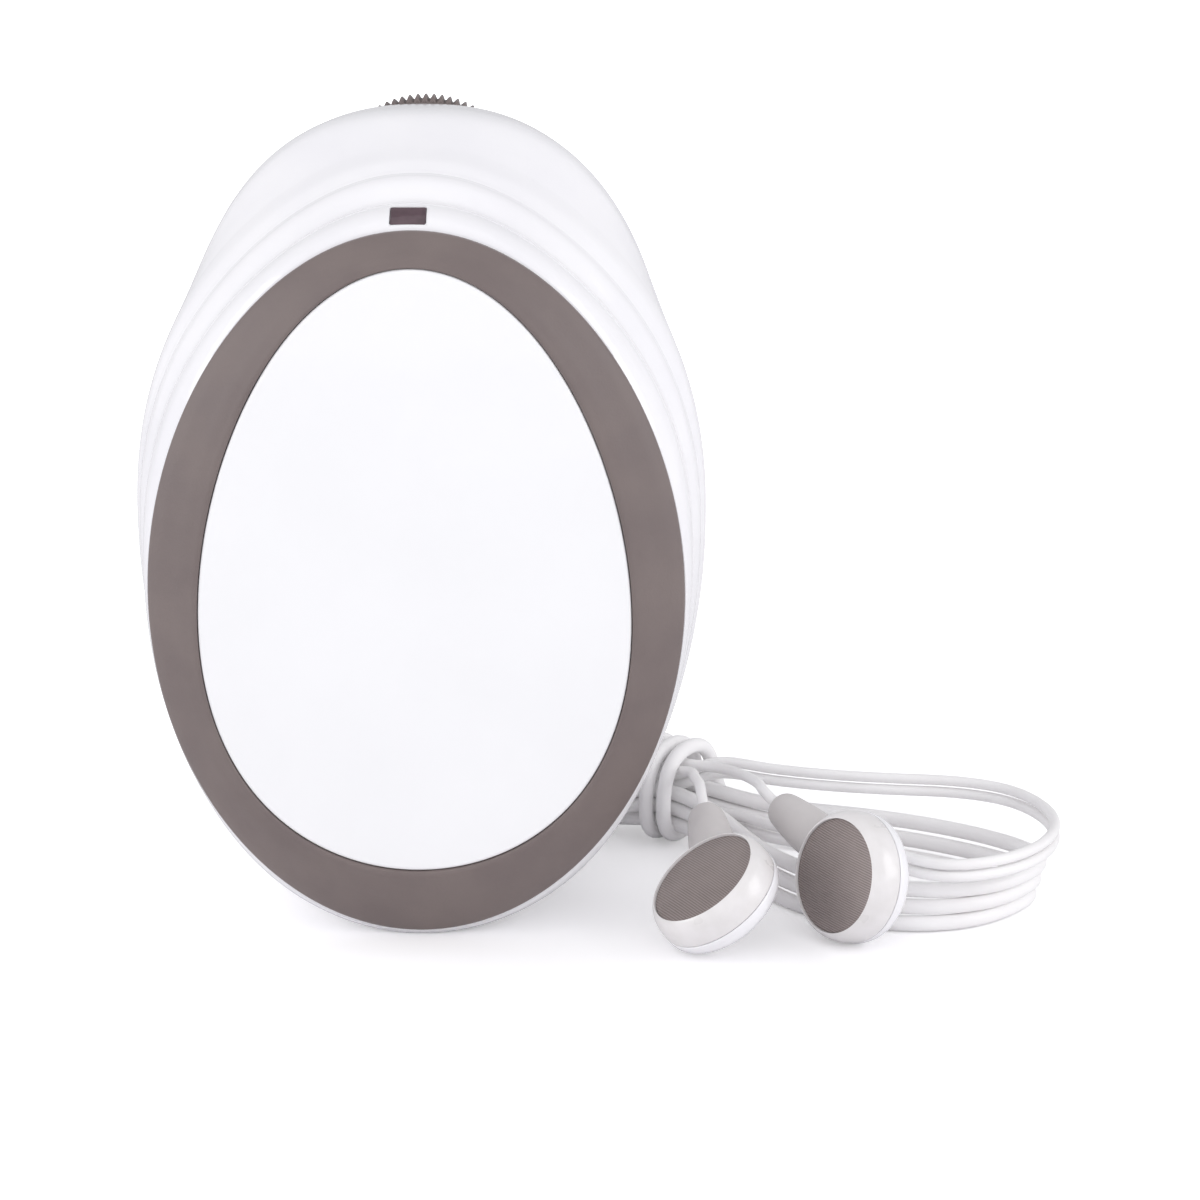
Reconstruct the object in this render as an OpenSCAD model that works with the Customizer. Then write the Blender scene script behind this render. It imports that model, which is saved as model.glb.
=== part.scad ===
// Hand-held fetal doppler monitor: an egg-shaped shell that stands on its
// narrow end, a toothed volume wheel in its head, an ultrasound transducer and
// a sliding battery door at the back, and a pair of wired earbuds beside it.
// X runs right, Y runs from the face to the back, Z is up; the foot is at z = 0.

/* [View] */
// Sub-part to draw

/* [Shell] */
// Distance from the ring's edge plane to the flat back
shell_d = 37; // [30:0.5:45]
// Depth at which the two shells part
part_d = 9.5; // [8:0.5:12]
// Wall of both shells
wall = 1.9; // [1.4:0.1:2.6]
// Points round each shell section
shell_n = 56; // [40:8:72]

/* [Face] */
// Half width of the ring's outer edge
ring_a = 32.9; // [31:0.1:34]
// Half height of the ring's outer edge
ring_b = 44.1; // [42:0.1:45]
// Half width of the panel inside the ring
panel_a = 26.1; // [24:0.1:28]
// Half height of the panel inside the ring
panel_b = 37.6; // [36:0.1:40]
// Rise of the panel's middle over its edge
panel_dome = 2.3; // [1:0.1:4]

/* [Volume wheel] */
// Radius at the tooth tips
wheel_r = 12.4; // [11:0.1:13]
// Height of a tooth
tooth_h = 0.6; // [0.3:0.05:1]
// Number of teeth
teeth = 76; // [40:1:100]
// Width of the wheel
wheel_w = 3.4; // [2:0.1:4.5]
// Height of the wheel's axis
wheel_z = 88.7; // [86:0.1:90]
// Depth of the wheel's middle
wheel_d = 31; // [29:0.1:33]
// Radius of the potentiometer shaft
shaft_r = 2; // [1.5:0.1:3]

/* [Transducer] */
// Radius of the transducer pad
pad_r = 17; // [14:0.5:18]
// Height of the transducer's axis
pad_z = 28.5; // [26:0.5:32]
// Reach of the pad behind the shell's back
pad_out = 3; // [1:0.5:5]

/* [Batteries] */
// Radius of an AAA cell
cell_r = 5.2; // [5:0.05:5.3]
// Length of an AAA cell over its nub
cell_l = 44.2; // [43:0.1:44.5]
// Low edge of the battery bay
bay_z = 49.4; // [48:0.1:51]
// Height of the battery bay
bay_h = 22.2; // [21.5:0.1:23]
// Half length of the battery bay
bay_x = 25.2; // [24.5:0.1:26]

/* [Earphone socket] */
// Radius of the socket bore for a 3.5 mm plug
jack_r = 1.8; // [1.78:0.01:1.9]
// Height of the socket
jack_z = 40; // [36:0.5:50]
// Depth of the socket from the ring plane
jack_d = 20.4; // [20:0.1:22]

/* [Earphones] */
// Outer radius of an earbud
bud_r = 8.25; // [7:0.05:9]
// Radius of the earbud grille
grille_r = 7.05; // [6:0.05:7.5]
// Radius of the main lead
lead_r = 1; // [0.8:0.05:1.3]
// Radius of each earbud's own lead
branch_r = 0.7; // [0.6:0.05:1]
// Loops of the main lead in the hank
hank_loops = 3; // [2:1:6]
// Rise from one loop to the next
loop_pitch = 2.5; // [2.4:0.05:3]

/* [Hidden] */

$fn = 48;
y0 = -16.75;                       // ring plane
y_back = y0 + shell_d;             // flat back of the shell
zc = 45;                           // height of the face's middle

// Outer shell stations: depth, top, bottom (both from zc), half width, power, egg amount.
// The steps in the top edge are the ridges that run round the head.
shell_stations = [
    [0.1, 44.3, -44.5, 33.0, 1.98, 1],
    [0.8, 45.4, -45.0, 33.3, 2.00, 0.9],
    [2.5, 46.4, -45.4, 33.8, 2.05, 0.7],
    [4.6, 46.8, -45.4, 33.9, 2.10, 0.5],
    [5.5, 46.4, -45.4, 33.4, 2.12, 0.45],
    [6.3, 47.6, -45.4, 33.9, 2.12, 0.45],
    [7.8, 49.1, -45.4, 34.5, 2.12, 0.4],
    [9.0, 49.6, -45.4, 34.9, 2.12, 0.4],
    [9.5, 49.2, -45.4, 34.6, 2.12, 0.4],
    [10.1, 50.0, -45.4, 35.1, 2.13, 0.3],
    [11.2, 50.8, -45.4, 35.4, 2.15, 0.2],
    [12.8, 51.0, -45.4, 35.4, 2.17, 0.1],
    [14.2, 51.9, -45.4, 35.1, 2.20, 0],
    [17.0, 53.8, -45.4, 34.0, 2.28, 0],
    [20.0, 55.3, -45.4, 32.8, 2.40, 0],
    [23.0, 55.7, -45.4, 32.0, 2.50, 0],
    [26.0, 55.7, -45.4, 31.9, 2.42, 0],
    [29.0, 55.4, -45.4, 31.7, 2.36, 0],
    [31.5, 54.5, -45.1, 31.0, 2.34, 0],
    [34.0, 53.0, -44.2, 29.9, 2.32, 0],
    [35.8, 50.8, -42.8, 28.7, 2.30, 0],
    [36.7, 48.8, -41.4, 27.5, 2.25, 0],
    [37.0, 46.8, -40.0, 26.0, 2.25, 0]
];

// The hank lies along run_dir from its waist, with side_dir away from the face
waist = [31.5, 23.5];
run_dir = [0.875, -0.484];
side_dir = [0.484, 0.875];
lift = 2.45;                       // rise of the bundle over the turns that bind it
waist_gap = 2.2;                   // side step of the near and far runs at the waist
lobe_right = 53;
lobe_left = 38;
near_wide = 29;
left_near = 8;
left_far = 9;
bind_turns = 2.42;
bind_wide = 5.8;
bind_high = 6.05;
bind_mid = 7.08;
bind_run = 6.4;

// Earbud places: middle of the grille, direction it faces, direction of its stem
bud_left_at = [35.1, -21.7, 9.5];
bud_left_face = [-0.555, -0.283, 0.784];
bud_left_stem = [-0.040, 0.949, 0.314];
bud_right_at = [51.4, -19.2, 8.9];
bud_right_face = [-0.775, -0.587, 0.236];
bud_right_stem = [-0.505, 0.799, 0.327];
stem_lean = 12;                    // the stem leans toward the grille

// Route of the left branch as run, side and height, from the splitter through the
// waist, round the wide top loop and back; the right branch lies just above it
branch_step = 1.9;
branch_out = [
    [-25.5, -1.2, 1.6], [-28.5, -1.5, 1.6], [-31, -0.2, 1.7], [-30.4, 2.0, 1.9], [-26.5, 3.2, 2.6],
    [-19, 3.0, 4.6], [-11, 2.2, 6.4], [-5, 0.6, 7.0], [0, 0, 7.0], [5.8, 1.7, 9.6],
    [12, 2.6, 9.4], [17.5, 3.6, 9.3], [23.7, 5.8, 9.1], [29.6, 8.6, 8.9], [35.5, 11.6, 8.7],
    [41.7, 12.8, 8.5], [47, 11, 8.4], [52, 6.7, 8.3], [54.9, 1.8, 8.2], [56.3, -4.4, 8.1],
    [55.6, -11.1, 8.1], [52.9, -16.4, 8.1], [49.2, -19.3, 8.1], [45, -19.2, 8.1], [40, -17.6, 8.1],
    [34, -15.4, 7.6], [27, -12.4, 6.8], [19.5, -8.45, 5.5], [13, -3.95, 4.4], [9, -1.7, 3.65],
    [5, -0.6, 3.3], [0, 0, 3.2]
];
left_back = [
    [-5, -0.05, 3.3], [-9, -0.9, 4.4], [-12.3, -1.9, 6.2], [-13.3, -2.4, 8.3], [-11.3, -2.6, 9.9],
    [-7, -2.6, 10.5], [-3, -2.6, 10.4], [0, -2.6, 10.4], [3, -2.75, 10.4]];
right_back = [
    [-4, -0.1, 5.2], [-7, -0.3, 5.7], [-9.5, -0.6, 6.9], [-10.2, -0.7, 8.7], [-8.6, -0.5, 10.3],
    [-5, -0.45, 11], [-2, -0.6, 11], [0, -0.8, 11], [3, -1.0, 11]];
left_over = [[34.0, 17.6, 11.1], [34.4, 12.0, 12.0], [34.6, 6.2, 13.4], [35.0, 0.5, 14.5]];
right_over = [[37.6, 19, 11.2], [40.5, 12.4, 12.3], [42.1, 4.6, 13.8], [42.8, -0.6, 14.7]];
tail_out = [[3.2, 7.6, 4.8], [0.8, 9.6, 1.9], [-5, 11.4, 1.05]];
tail_end = [[29.5, 43, 1.05], [25, 49.3, 1.05], [18.5, 53.6, 1.05], [12, 54.9, 1.7], [8.5, 55, 3.0]];
plug_at = [6, 55, 3.3];

// ---------- section and loft helpers ----------

function power(v, p) = sign(v) * pow(abs(v), p);

// One section of the shell, drawn in by a margin on every side
function shell_ring(s, inset, n) = [
    for (i = [0 : n - 1])
        let (
            t = 360 * (i + 0.5) / n - 90,
            b = (s[1] - s[2]) / 2 - inset,
            mid = (s[1] + s[2]) / 2,
            lean = min(1, s[0] / 5, max(0, (20 - s[0]) / 6)) * (0.077 - 0.035 * sin(t) - 0.186 * pow(sin(t), 2)) * sin(t),
        egg = 1 + lean - 0.026 * s[5] * sin(t) - 0.03 * s[5] * pow(sin(t), 2),
            x = (s[3] - inset) * power(cos(t), 2 / s[4]) * egg,
            v = mid + b * power(sin(t), 2 / s[4])
        )
        [x, y0 + s[0], max(v + zc, inset)]
];

// One section of the ring and panel, whose egg is fuller below
function face_ring(a, b, d, n) = [
    for (i = [0 : n - 1])
        let (
            t = 360 * (i + 0.5) / n - 90,
            share = max(0, min(1, (ring_a - a) / (ring_a - panel_a))),
            taper = 0.026 + 0.13 * share,
            full = -0.03 + 0.075 * share,
            x = a * cos(t) * (1 - taper * sin(t) + full * pow(sin(t), 2))
        )
        [x, y0 + d, zc + 2.5 * share + b * sin(t)]
];

// Solid through a list of rings with equal counts, closed flat at both ends
module loft(rings) {
    n = len(rings[0]);
    last = len(rings) - 1;
    polyhedron(
        points = [for (r = rings) each r],
        faces = concat(
            [[for (i = [0 : n - 1]) i]],
            [for (k = [0 : last - 1], i = [0 : n - 1])
                let (a = k * n + i, b = k * n + (i + 1) % n)
                each [[a, a + n, b], [b, a + n, b + n]]],
            [[for (i = [n - 1 : -1 : 0]) last * n + i]]
        ),
        convexity = 8
    );
}

// Stations between two depths
function stations(d_from, d_to) = [for (s = shell_stations) if (s[0] >= d_from && s[0] <= d_to) s];
function reversed(list) = [for (i = [len(list) - 1 : -1 : 0]) list[i]];

// Tube along a line of points; the rings keep their twist from end to end
function unit(v) = v / norm(v);
function along(p, i) = unit(p[min(i + 1, len(p) - 1)] - p[max(i - 1, 0)]);
function carry(p, i, u) = let (t = along(p, i)) unit(u - (u * t) * t);
function sides_of(p) = [
    for (i = 0, u = carry(p, 0, [0.1, 0.3, 1]); i < len(p);
        i = i + 1, u = i < len(p) ? carry(p, i, u) : u) u
];
function tube_ring(c, t, u, r, n) = [
    for (j = [0 : n - 1])
        c + r * (cos(360 * j / n) * u + sin(360 * j / n) * cross(t, u))
];
module tube(p, r, n) {
    side = sides_of(p);
    loft([for (i = [0 : len(p) - 1]) tube_ring(p[i], along(p, i), side[i], r, n)]);
}

// Smooth curve through hand-chosen points
function blend(a, b, c, d, t) = 0.5 * (
    2 * b + (c - a) * t + (2 * a - 5 * b + 4 * c - d) * t * t
    + (3 * b - a - 3 * c + d) * t * t * t
);
function curve(p, steps) = concat(
    [for (i = [0 : len(p) - 2], k = [0 : steps - 1])
        blend(p[max(i - 1, 0)], p[i], p[i + 1], p[min(i + 2, len(p) - 1)], k / steps)],
    [p[len(p) - 1]]
);

// Places an upright piece with its Z along one direction and its Y near another
module facing(at, z_dir, y_dir) {
    z = unit(z_dir);
    y = unit(y_dir - (y_dir * z) * z);
    x = cross(y, z);
    multmatrix([
        [x[0], y[0], z[0], at[0]],
        [x[1], y[1], z[1], at[1]],
        [x[2], y[2], z[2], at[2]],
        [0, 0, 0, 1]
    ]) children();
}

// Cylinder and ring that lie along Y, from one depth to another
module rod(x, z, r, d_from, d_to) {
    translate([x, y0 + d_from, z]) rotate([-90, 0, 0]) cylinder(r = r, h = d_to - d_from);
}
module sleeve(x, z, r_out, r_in, d_from, d_to) {
    difference() {
        rod(x, z, r_out, d_from, d_to);
        rod(x, z, r_in, d_from - 1, d_to + 1);
    }
}
module block(x_from, x_to, d_from, d_to, z_from, z_to) {
    translate([x_from, y0 + d_from, z_from])
        cube([x_to - x_from, d_to - d_from, z_to - z_from]);
}

// ---------- shells ----------

screw_spots = [[-20.5, 17.5], [20.5, 17.5], [-19, 77], [19, 77]];
screw_seat = 15.2;

module front_shell() {
    outer = stations(0, part_d);
    inner = stations(2, 8);
    color([0.95, 0.94, 0.96]) {
        difference() {
            loft(reversed(concat(
                [face_ring(panel_a - 0.4, panel_b - 0.4, -2.3, shell_n)],
                [face_ring(ring_a - 1.6, ring_b - 1.6, 0.1, shell_n)],
                [for (s = outer) shell_ring(s, 0, shell_n)],
                [shell_ring(outer[len(outer) - 1], 0.9, shell_n)],
                [shell_ring([8.0, 49.0, -45.4, 34.4, 2.12, 0.4], 0.9, shell_n)],
                [shell_ring([8.0, 49.0, -45.4, 34.4, 2.12, 0.4], wall, shell_n)],
                [for (s = reversed(inner)) shell_ring(s, wall, shell_n)],
                [face_ring(ring_a - 3.4, ring_b - 3.4, 1.9, shell_n)],
                [face_ring(panel_a - 2, panel_b - 2, -0.6, shell_n)]
            )));
            window_block(2.25, 1.65, -3, 3);
        }
        for (p = screw_spots) sleeve(p[0], p[1], 2.8, 1.05, 1, 13.1);
    }
}

module rear_shell() {
    outer = stations(part_d, shell_d);
    inner = stations(12, 34.5);
    lip = [9.5, 49.2, -45.4, 34.6, 2.12, 0.4];
    color([0.95, 0.94, 0.96])
    difference() {
        union() {
            loft(reversed(concat(
                [shell_ring([34.5, 50.8, -43.4, 28.8, 2.26, 0], wall, shell_n)],
                [for (s = reversed(inner)) shell_ring(s, wall, shell_n)],
                [shell_ring([8.2, 49.0, -45.4, 34.4, 2.12, 0.4], wall, shell_n)],
                [shell_ring([8.2, 49.0, -45.4, 34.4, 2.12, 0.4], 1.0, shell_n)],
                [shell_ring(lip, 1.0, shell_n)],
                [for (s = outer) shell_ring(s, 0, shell_n)]
            )));
            block(-bay_x - 1.2, bay_x + 1.2, 22.2, 35.4, bay_z - 1.2, bay_z + bay_h + 1.2);
            for (p = screw_spots) rod(p[0], p[1], 3.4, 13.3, 35.4);
            rod(0, pad_z, pad_r + 1.6, 25, 35.4);
        }
        // battery bay, its doorway and the door's two grooves
        block(-bay_x, bay_x, 23.6, 34.0, bay_z, bay_z + bay_h);
        block(-22.4, 22.4, 30, 40, bay_z, bay_z + bay_h);
        block(-22.5, 40, 35.1, 40, bay_z - 1.6, bay_z + bay_h + 1.6);
        block(-22.5, 40, 35.1, 36.15, bay_z - 2.6, bay_z + bay_h + 2.6);
        // transducer seat
        rod(0, pad_z, pad_r + 0.1, 26.5, 40);
        rod(0, pad_z, pad_r - 2, 24, 30);
        // slot for the wheel and wells for the screws
        block(-11.6, 11.6, wheel_d - wheel_w / 2 - 0.7, wheel_d + wheel_w / 2 + 0.7, 92, 110);
        for (p = screw_spots) {
            rod(p[0], p[1], 2.4, screw_seat, 40);
            rod(p[0], p[1], 1.35, 12, 20);
        }
        // earphone hole in the left wall
        translate([-40, y0 + jack_d, jack_z]) rotate([0, 90, 0]) cylinder(r = 3.05, h = 14);
    }
}

// ---------- face ----------

module trim_ring() {
    color([0.49, 0.455, 0.45])
    difference() {
        loft([
            face_ring(ring_a, ring_b, 0, shell_n),
            face_ring(ring_a, ring_b, -0.4, shell_n),
            face_ring(ring_a - 0.5, ring_b - 0.5, -1.1, shell_n),
            face_ring(ring_a - 2.2, ring_b - 2.2, -2.2, shell_n),
            face_ring(ring_a - 4.4, ring_b - 4.2, -3.4, shell_n),
            face_ring(panel_a + 0.6, panel_b + 0.6, -4.2, shell_n),
            face_ring(panel_a + 0.15, panel_b + 0.15, -4.2, shell_n)
        ]);
        loft([
            face_ring(ring_a - 1.6, ring_b - 1.6, 0.02, shell_n),
            face_ring(panel_a - 0.4, panel_b - 0.4, -2.4, shell_n),
            face_ring(panel_a + 0.1, panel_b + 0.1, -2.4, shell_n),
            face_ring(panel_a + 0.1, panel_b + 0.1, -5, shell_n)
        ]);
    }
}

module front_panel() {
    dome = [1, 0.97, 0.9, 0.78, 0.62, 0.42, 0.2];
    color([0.97, 0.965, 0.98])
    loft(concat(
        [for (f = reversed(dome))
            face_ring((panel_a - 2) * f, (panel_b - 2) * f, -2.5 - (panel_dome + 0.3) * (1 - f * f), shell_n)],
        [face_ring(panel_a - 1.8, panel_b - 1.8, -2.4, shell_n)],
        [face_ring(panel_a, panel_b, -2.4, shell_n)],
        [face_ring(panel_a, panel_b, -3.9, shell_n)],
        [for (f = dome)
            face_ring((panel_a - 0.4) * f, (panel_b - 0.4) * f, -4.2 - panel_dome * (1 - f * f), shell_n)]
    ));
}

// Block square to the slope of the first ridge, where the indicator sits
module window_block(half_x, half_y, low, high) {
    translate([-0.5, y0 + 1.65, zc + 45.75]) rotate([38, 0, 0])
        translate([-half_x, -half_y, low]) cube([2 * half_x, 2 * half_y, high - low]);
}

module indicator_window() {
    color([0.35, 0.22, 0.26]) {
        window_block(2.2, 1.6, -2.6, -0.35);
        block(-2.7, 0.8, 3.0, 4.4, 86.4, 89.3);
        block(-3.2, 0.8, 2.7, 9.2, 86.4, 88.6);
    }
}

// ---------- volume control ----------

module volume_wheel() {
    root = wheel_r - tooth_h;
    step = 360 / teeth;
    color([0.49, 0.455, 0.45])
    difference() {
        union() {
            translate([0, y0 + wheel_d + wheel_w / 2, wheel_z]) rotate([90, 0, 0])
                linear_extrude(wheel_w)
                    polygon([for (i = [0 : teeth - 1], k = [0 : 2])
                        let (a = 90 + step * (i + [-0.5, -0.12, 0.12][k]), r = [root, wheel_r, wheel_r][k])
                        [r * cos(a), r * sin(a)]]);
            rod(0, wheel_z, 4, wheel_d - 4.5, wheel_d + 2);
        }
        rod(0, wheel_z, shaft_r, wheel_d - 6, wheel_d + 5);
        sleeve(0, wheel_z, 10.6, 5.4, wheel_d + 1, wheel_d + 5);
    }
    color([0.75, 0.75, 0.78])
    difference() {
        rod(0, wheel_z, shaft_r, 19.4, wheel_d + 1.2);
        rod(0, wheel_z, 0.8, wheel_d - 5, wheel_d + 2);
    }
}

module wheel_screw() {
    color([0.6, 0.6, 0.63])
    difference() {
        union() {
            rod(0, wheel_z, 0.8, wheel_d - 4.5, wheel_d + 2.2);
            rod(0, wheel_z, 2.6, wheel_d + 2, wheel_d + 3.1);
        }
        block(-2, 2, wheel_d + 2.6, wheel_d + 4, wheel_z - 0.3, wheel_z + 0.3);
        block(-0.3, 0.3, wheel_d + 2.6, wheel_d + 4, wheel_z - 2, wheel_z + 2);
    }
}

module pot_body() {
    color([0.2, 0.2, 0.22])
    difference() {
        union() {
            rod(0, wheel_z, 6.5, 17.1, 22.4);
            rod(0, wheel_z, 3.4, 22.4, 25.8);
            block(-4, 4, 17.1, 20.4, wheel_z - 9, wheel_z - 4);
        }
        rod(0, wheel_z, shaft_r + 0.05, 19, 27);
    }
}

// ---------- electronics ----------

module main_board() {
    color([0.12, 0.36, 0.22])
    difference() {
        union() {
            block(-27, 27, 15.3, 16.9, 24, 74);
            block(-15.5, 15.5, 15.3, 16.9, 12, 84);
            block(-9, 9, 15.3, 16.9, 80, 94);
        }
        for (p = screw_spots) rod(p[0], p[1], 4, 15, 18);
    }
}

module control_chip() {
    color([0.1, 0.1, 0.11]) {
        block(-5, 5, 14, 15.2, 58, 68);
        for (i = [0 : 7])
            block(-6, 6, 14.6, 15.25, 58.75 + i * 1.2, 59.15 + i * 1.2);
    }
}

module amplifier_chip() {
    color([0.1, 0.1, 0.11]) {
        block(-15, -10, 13.8, 15.2, 40, 48);
        for (i = [0 : 4])
            block(-16, -9, 14.6, 15.25, 40.8 + i * 1.5, 41.3 + i * 1.5);
    }
}

module quartz_crystal() {
    color([0.75, 0.75, 0.78]) {
        block(9, 19, 12.2, 15.1, 60, 64);
        rod(9, 62, 2, 12.2, 15.1);
        rod(19, 62, 2, 12.2, 15.1);
    }
}

module capacitors() {
    color([0.16, 0.18, 0.3]) {
        rod(12, 44, 3.1, 8.2, 15.2);
        rod(12, 36, 3.1, 8.2, 15.2);
        rod(20, 40, 2.5, 9.6, 15.2);
    }
}

module indicator_led() {
    color([0.4, 0.8, 0.45]) {
        rod(-1.2, 87.5, 1.5, 9.5, 13.2);
        rod(-1.2, 87.5, 1.85, 13, 14);
        rod(-2.4, 87.5, 0.25, 13.9, 17);
        rod(0, 87.5, 0.25, 13.9, 17);
    }
}

// ---------- transducer ----------

module transducer_cup() {
    color([0.93, 0.92, 0.94])
    difference() {
        rod(0, pad_z, pad_r, 29.2, shell_d + pad_out - 0.9);
        rod(0, pad_z, pad_r - 1.6, 30.8, 45);
        rod(0, pad_z, 2, 28, 32);
    }
}

module transducer_face() {
    color([0.6, 0.57, 0.57])
    translate([0, y0 + shell_d + pad_out - 0.9, pad_z]) rotate([-90, 0, 0])
        rotate_extrude()
            polygon([[0, 0], [pad_r, 0], [pad_r, 0.35], [pad_r - 0.2, 0.65], [pad_r - 0.6, 0.9], [0, 0.9]]);
}

module half_disc(side) {
    difference() {
        rod(side * 0.6, pad_z, 12.5, 37.7, shell_d + pad_out - 1);
        block(side > 0 ? -20 : 0, side > 0 ? 0.6 : 20, 37, 41, pad_z - 20, pad_z + 20);
        if (side < 0) block(-0.6, 20, 37, 41, pad_z - 20, pad_z + 20);
    }
}

module transmit_crystal() {
    color([0.8, 0.72, 0.5]) half_disc(1);
}

module receive_crystal() {
    color([0.8, 0.72, 0.5]) half_disc(-1);
}

module backing_block() {
    color([0.35, 0.33, 0.34]) rod(0, pad_z, pad_r - 1.9, 33, 37.6);
}

module seal_ring() {
    color([0.25, 0.24, 0.25]) sleeve(0, pad_z, pad_r - 0.3, pad_r - 2.4, 26.6, 29.1);
}

module transducer_lead() {
    color([0.2, 0.2, 0.22])
        tube([[0, y0 + 33, pad_z], [0, y0 + 28, pad_z], [0, y0 + 24.5, pad_z - 1], [0, y0 + 21.5, pad_z - 4],
            [0, y0 + 19.5, pad_z - 8], [0, y0 + 17, pad_z - 8.5]], 0.9, 8);
}

// ---------- batteries ----------

module battery_cover() {
    z_low = bay_z - 1.5;
    z_high = bay_z + bay_h + 1.5;
    color([0.94, 0.93, 0.95]) {
        intersection() {
            loft([for (s = reversed(stations(30, shell_d))) shell_ring(s, 0, shell_n)]);
            block(-22.35, 40, 35.2, 40, z_low, z_high);
        }
        block(-22.35, 19, 35.2, 36.05, z_low - 0.9, z_high + 0.9);
        for (i = [0 : 4])
            block(10 + i * 2, 10.9 + i * 2, 36.9, 37.45, bay_z + 5, bay_z + bay_h - 5);
    }
}

module cell(z, side) {
    x_end = side * (cell_l / 2 - 0.9);
    translate([0, y0 + 29.2, z]) rotate([0, 90, 0]) {
        translate([0, 0, -cell_l / 2 + (side < 0 ? 0.9 : 0)]) cylinder(r = cell_r, h = cell_l - 0.9);
        translate([0, 0, side > 0 ? x_end - 0.1 : x_end - 0.9]) cylinder(r = 1.9, h = 1);
    }
}

module battery_upper() {
    color([0.3, 0.33, 0.4]) cell(bay_z + bay_h - 5.45, 1);
}

module battery_lower() {
    color([0.3, 0.33, 0.4]) cell(bay_z + 5.45, -1);
}

module coil_spring(x_from, x_to, z) {
    turns = 4;
    tube([for (i = [0 : turns * 8])
        let (f = i / (turns * 8), a = 360 * turns * f, r = 3.4 - 1.4 * f)
        [x_from + (x_to - x_from) * f, y0 + 29.2 + r * sin(a), z + r * cos(a)]], 0.28, 6);
}

module contact_springs() {
    color([0.8, 0.8, 0.82]) {
        coil_spring(-24.5, -22.4, bay_z + bay_h - 5.45);
        coil_spring(24.5, 22.4, bay_z + 5.45);
    }
}

module contact_plates() {
    color([0.8, 0.8, 0.82])
    for (side = [-1, 1], z = [bay_z + 5.45, bay_z + bay_h - 5.45])
        translate([side * 24.95, y0 + 29, z]) cube([0.4, 9, 8.4], center = true);
}

// ---------- screws and socket ----------

module case_screws() {
    color([0.62, 0.62, 0.66])
    for (p = screw_spots)
        difference() {
            union() {
                rod(p[0], p[1], 2.2, screw_seat, screw_seat + 1.7);
                rod(p[0], p[1], 1.2, 5, screw_seat + 0.5);
            }
            block(p[0] - 1.3, p[0] + 1.3, screw_seat + 0.9, 20, p[1] - 0.25, p[1] + 0.25);
            block(p[0] - 0.25, p[0] + 0.25, screw_seat + 0.9, 20, p[1] - 1.3, p[1] + 1.3);
        }
}

module earphone_socket() {
    color([0.15, 0.15, 0.16])
    difference() {
        union() {
            block(-28.6, -17, 17.1, 23.7, jack_z - 3.4, jack_z + 3.4);
            translate([-31.9, y0 + jack_d, jack_z]) rotate([0, 90, 0]) cylinder(r = 2.9, h = 4);
        }
        translate([-34, y0 + jack_d, jack_z]) rotate([0, 90, 0]) cylinder(r = jack_r, h = 16.1);
    }
}

// ---------- earbuds: Z is the way the grille faces, Y the way the stem leaves ----------

module stem() {
    translate([0, 0, -5.4]) rotate([stem_lean - 90, 0, 0]) children();
}

module bud_front() {
    color([0.87, 0.85, 0.85])
    difference() {
    rotate_extrude()
        polygon([
            [grille_r + 0.05, -0.9], [grille_r + 0.05, 0], [grille_r + 0.3, -0.15],
            [grille_r + 0.65, -0.55], [bud_r - 0.25, -1.15], [bud_r - 0.05, -1.9], [bud_r, -2.7],
            [bud_r, -3.7], [bud_r - 1.1, -3.7], [bud_r - 1.1, -1.6], [grille_r - 0.6, -1.6],
            [grille_r - 0.6, -0.9]
        ]);
        stem() cylinder(r = 2.4, h = 12);
        stem() translate([0, 0, 8.6]) cylinder(r = 3.15, h = 4);
    }
}

module bud_grille() {
    color([0.54, 0.5, 0.49])
    rotate_extrude()
        polygon([[0, -0.8], [grille_r, -0.8], [grille_r, -0.35], [grille_r * 0.7, -0.1], [0, 0.1]]);
}

module bud_rear() {
    color([0.96, 0.955, 0.965])
    difference() {
        union() {
            rotate_extrude()
                polygon([
                    [bud_r, -3.8], [bud_r - 0.15, -4.6], [bud_r - 0.8, -5.7], [bud_r - 2.2, -6.8],
                    [bud_r - 4.2, -7.5], [2, -7.9], [0, -8], [0, -6.9], [2, -6.8],
                    [bud_r - 4.4, -6.4], [bud_r - 2.8, -5.8], [bud_r - 1.7, -4.9], [bud_r - 1.2, -3.8]
                ]);
            stem() translate([0, 0, 6.6]) cylinder(r = 2.3, h = 6.4);
        }
        stem() translate([0, 0, 2]) cylinder(r = 1.2, h = 12);
        translate([0, 0, -1]) cylinder(r = grille_r + 0.1, h = 3);
    }
}

module bud_driver() {
    color([0.7, 0.6, 0.35]) {
        translate([0, 0, -3.1]) cylinder(r = grille_r - 2.2, h = 1.7);
        translate([0, 0, -4.6]) cylinder(r = 3.2, h = 1.6);
    }
}

module bud_boot() {
    color([0.79, 0.775, 0.77])
    stem()
        rotate_extrude()
            polygon([
                [2.35, 9], [3.05, 9], [2.95, 11], [2.6, 13.6], [2.3, 15.3], [1.8, 16.2],
                [1.1, 16.6], [0.75, 16.6], [0.75, 13.1], [2.35, 13.1]
            ]);
}

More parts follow.
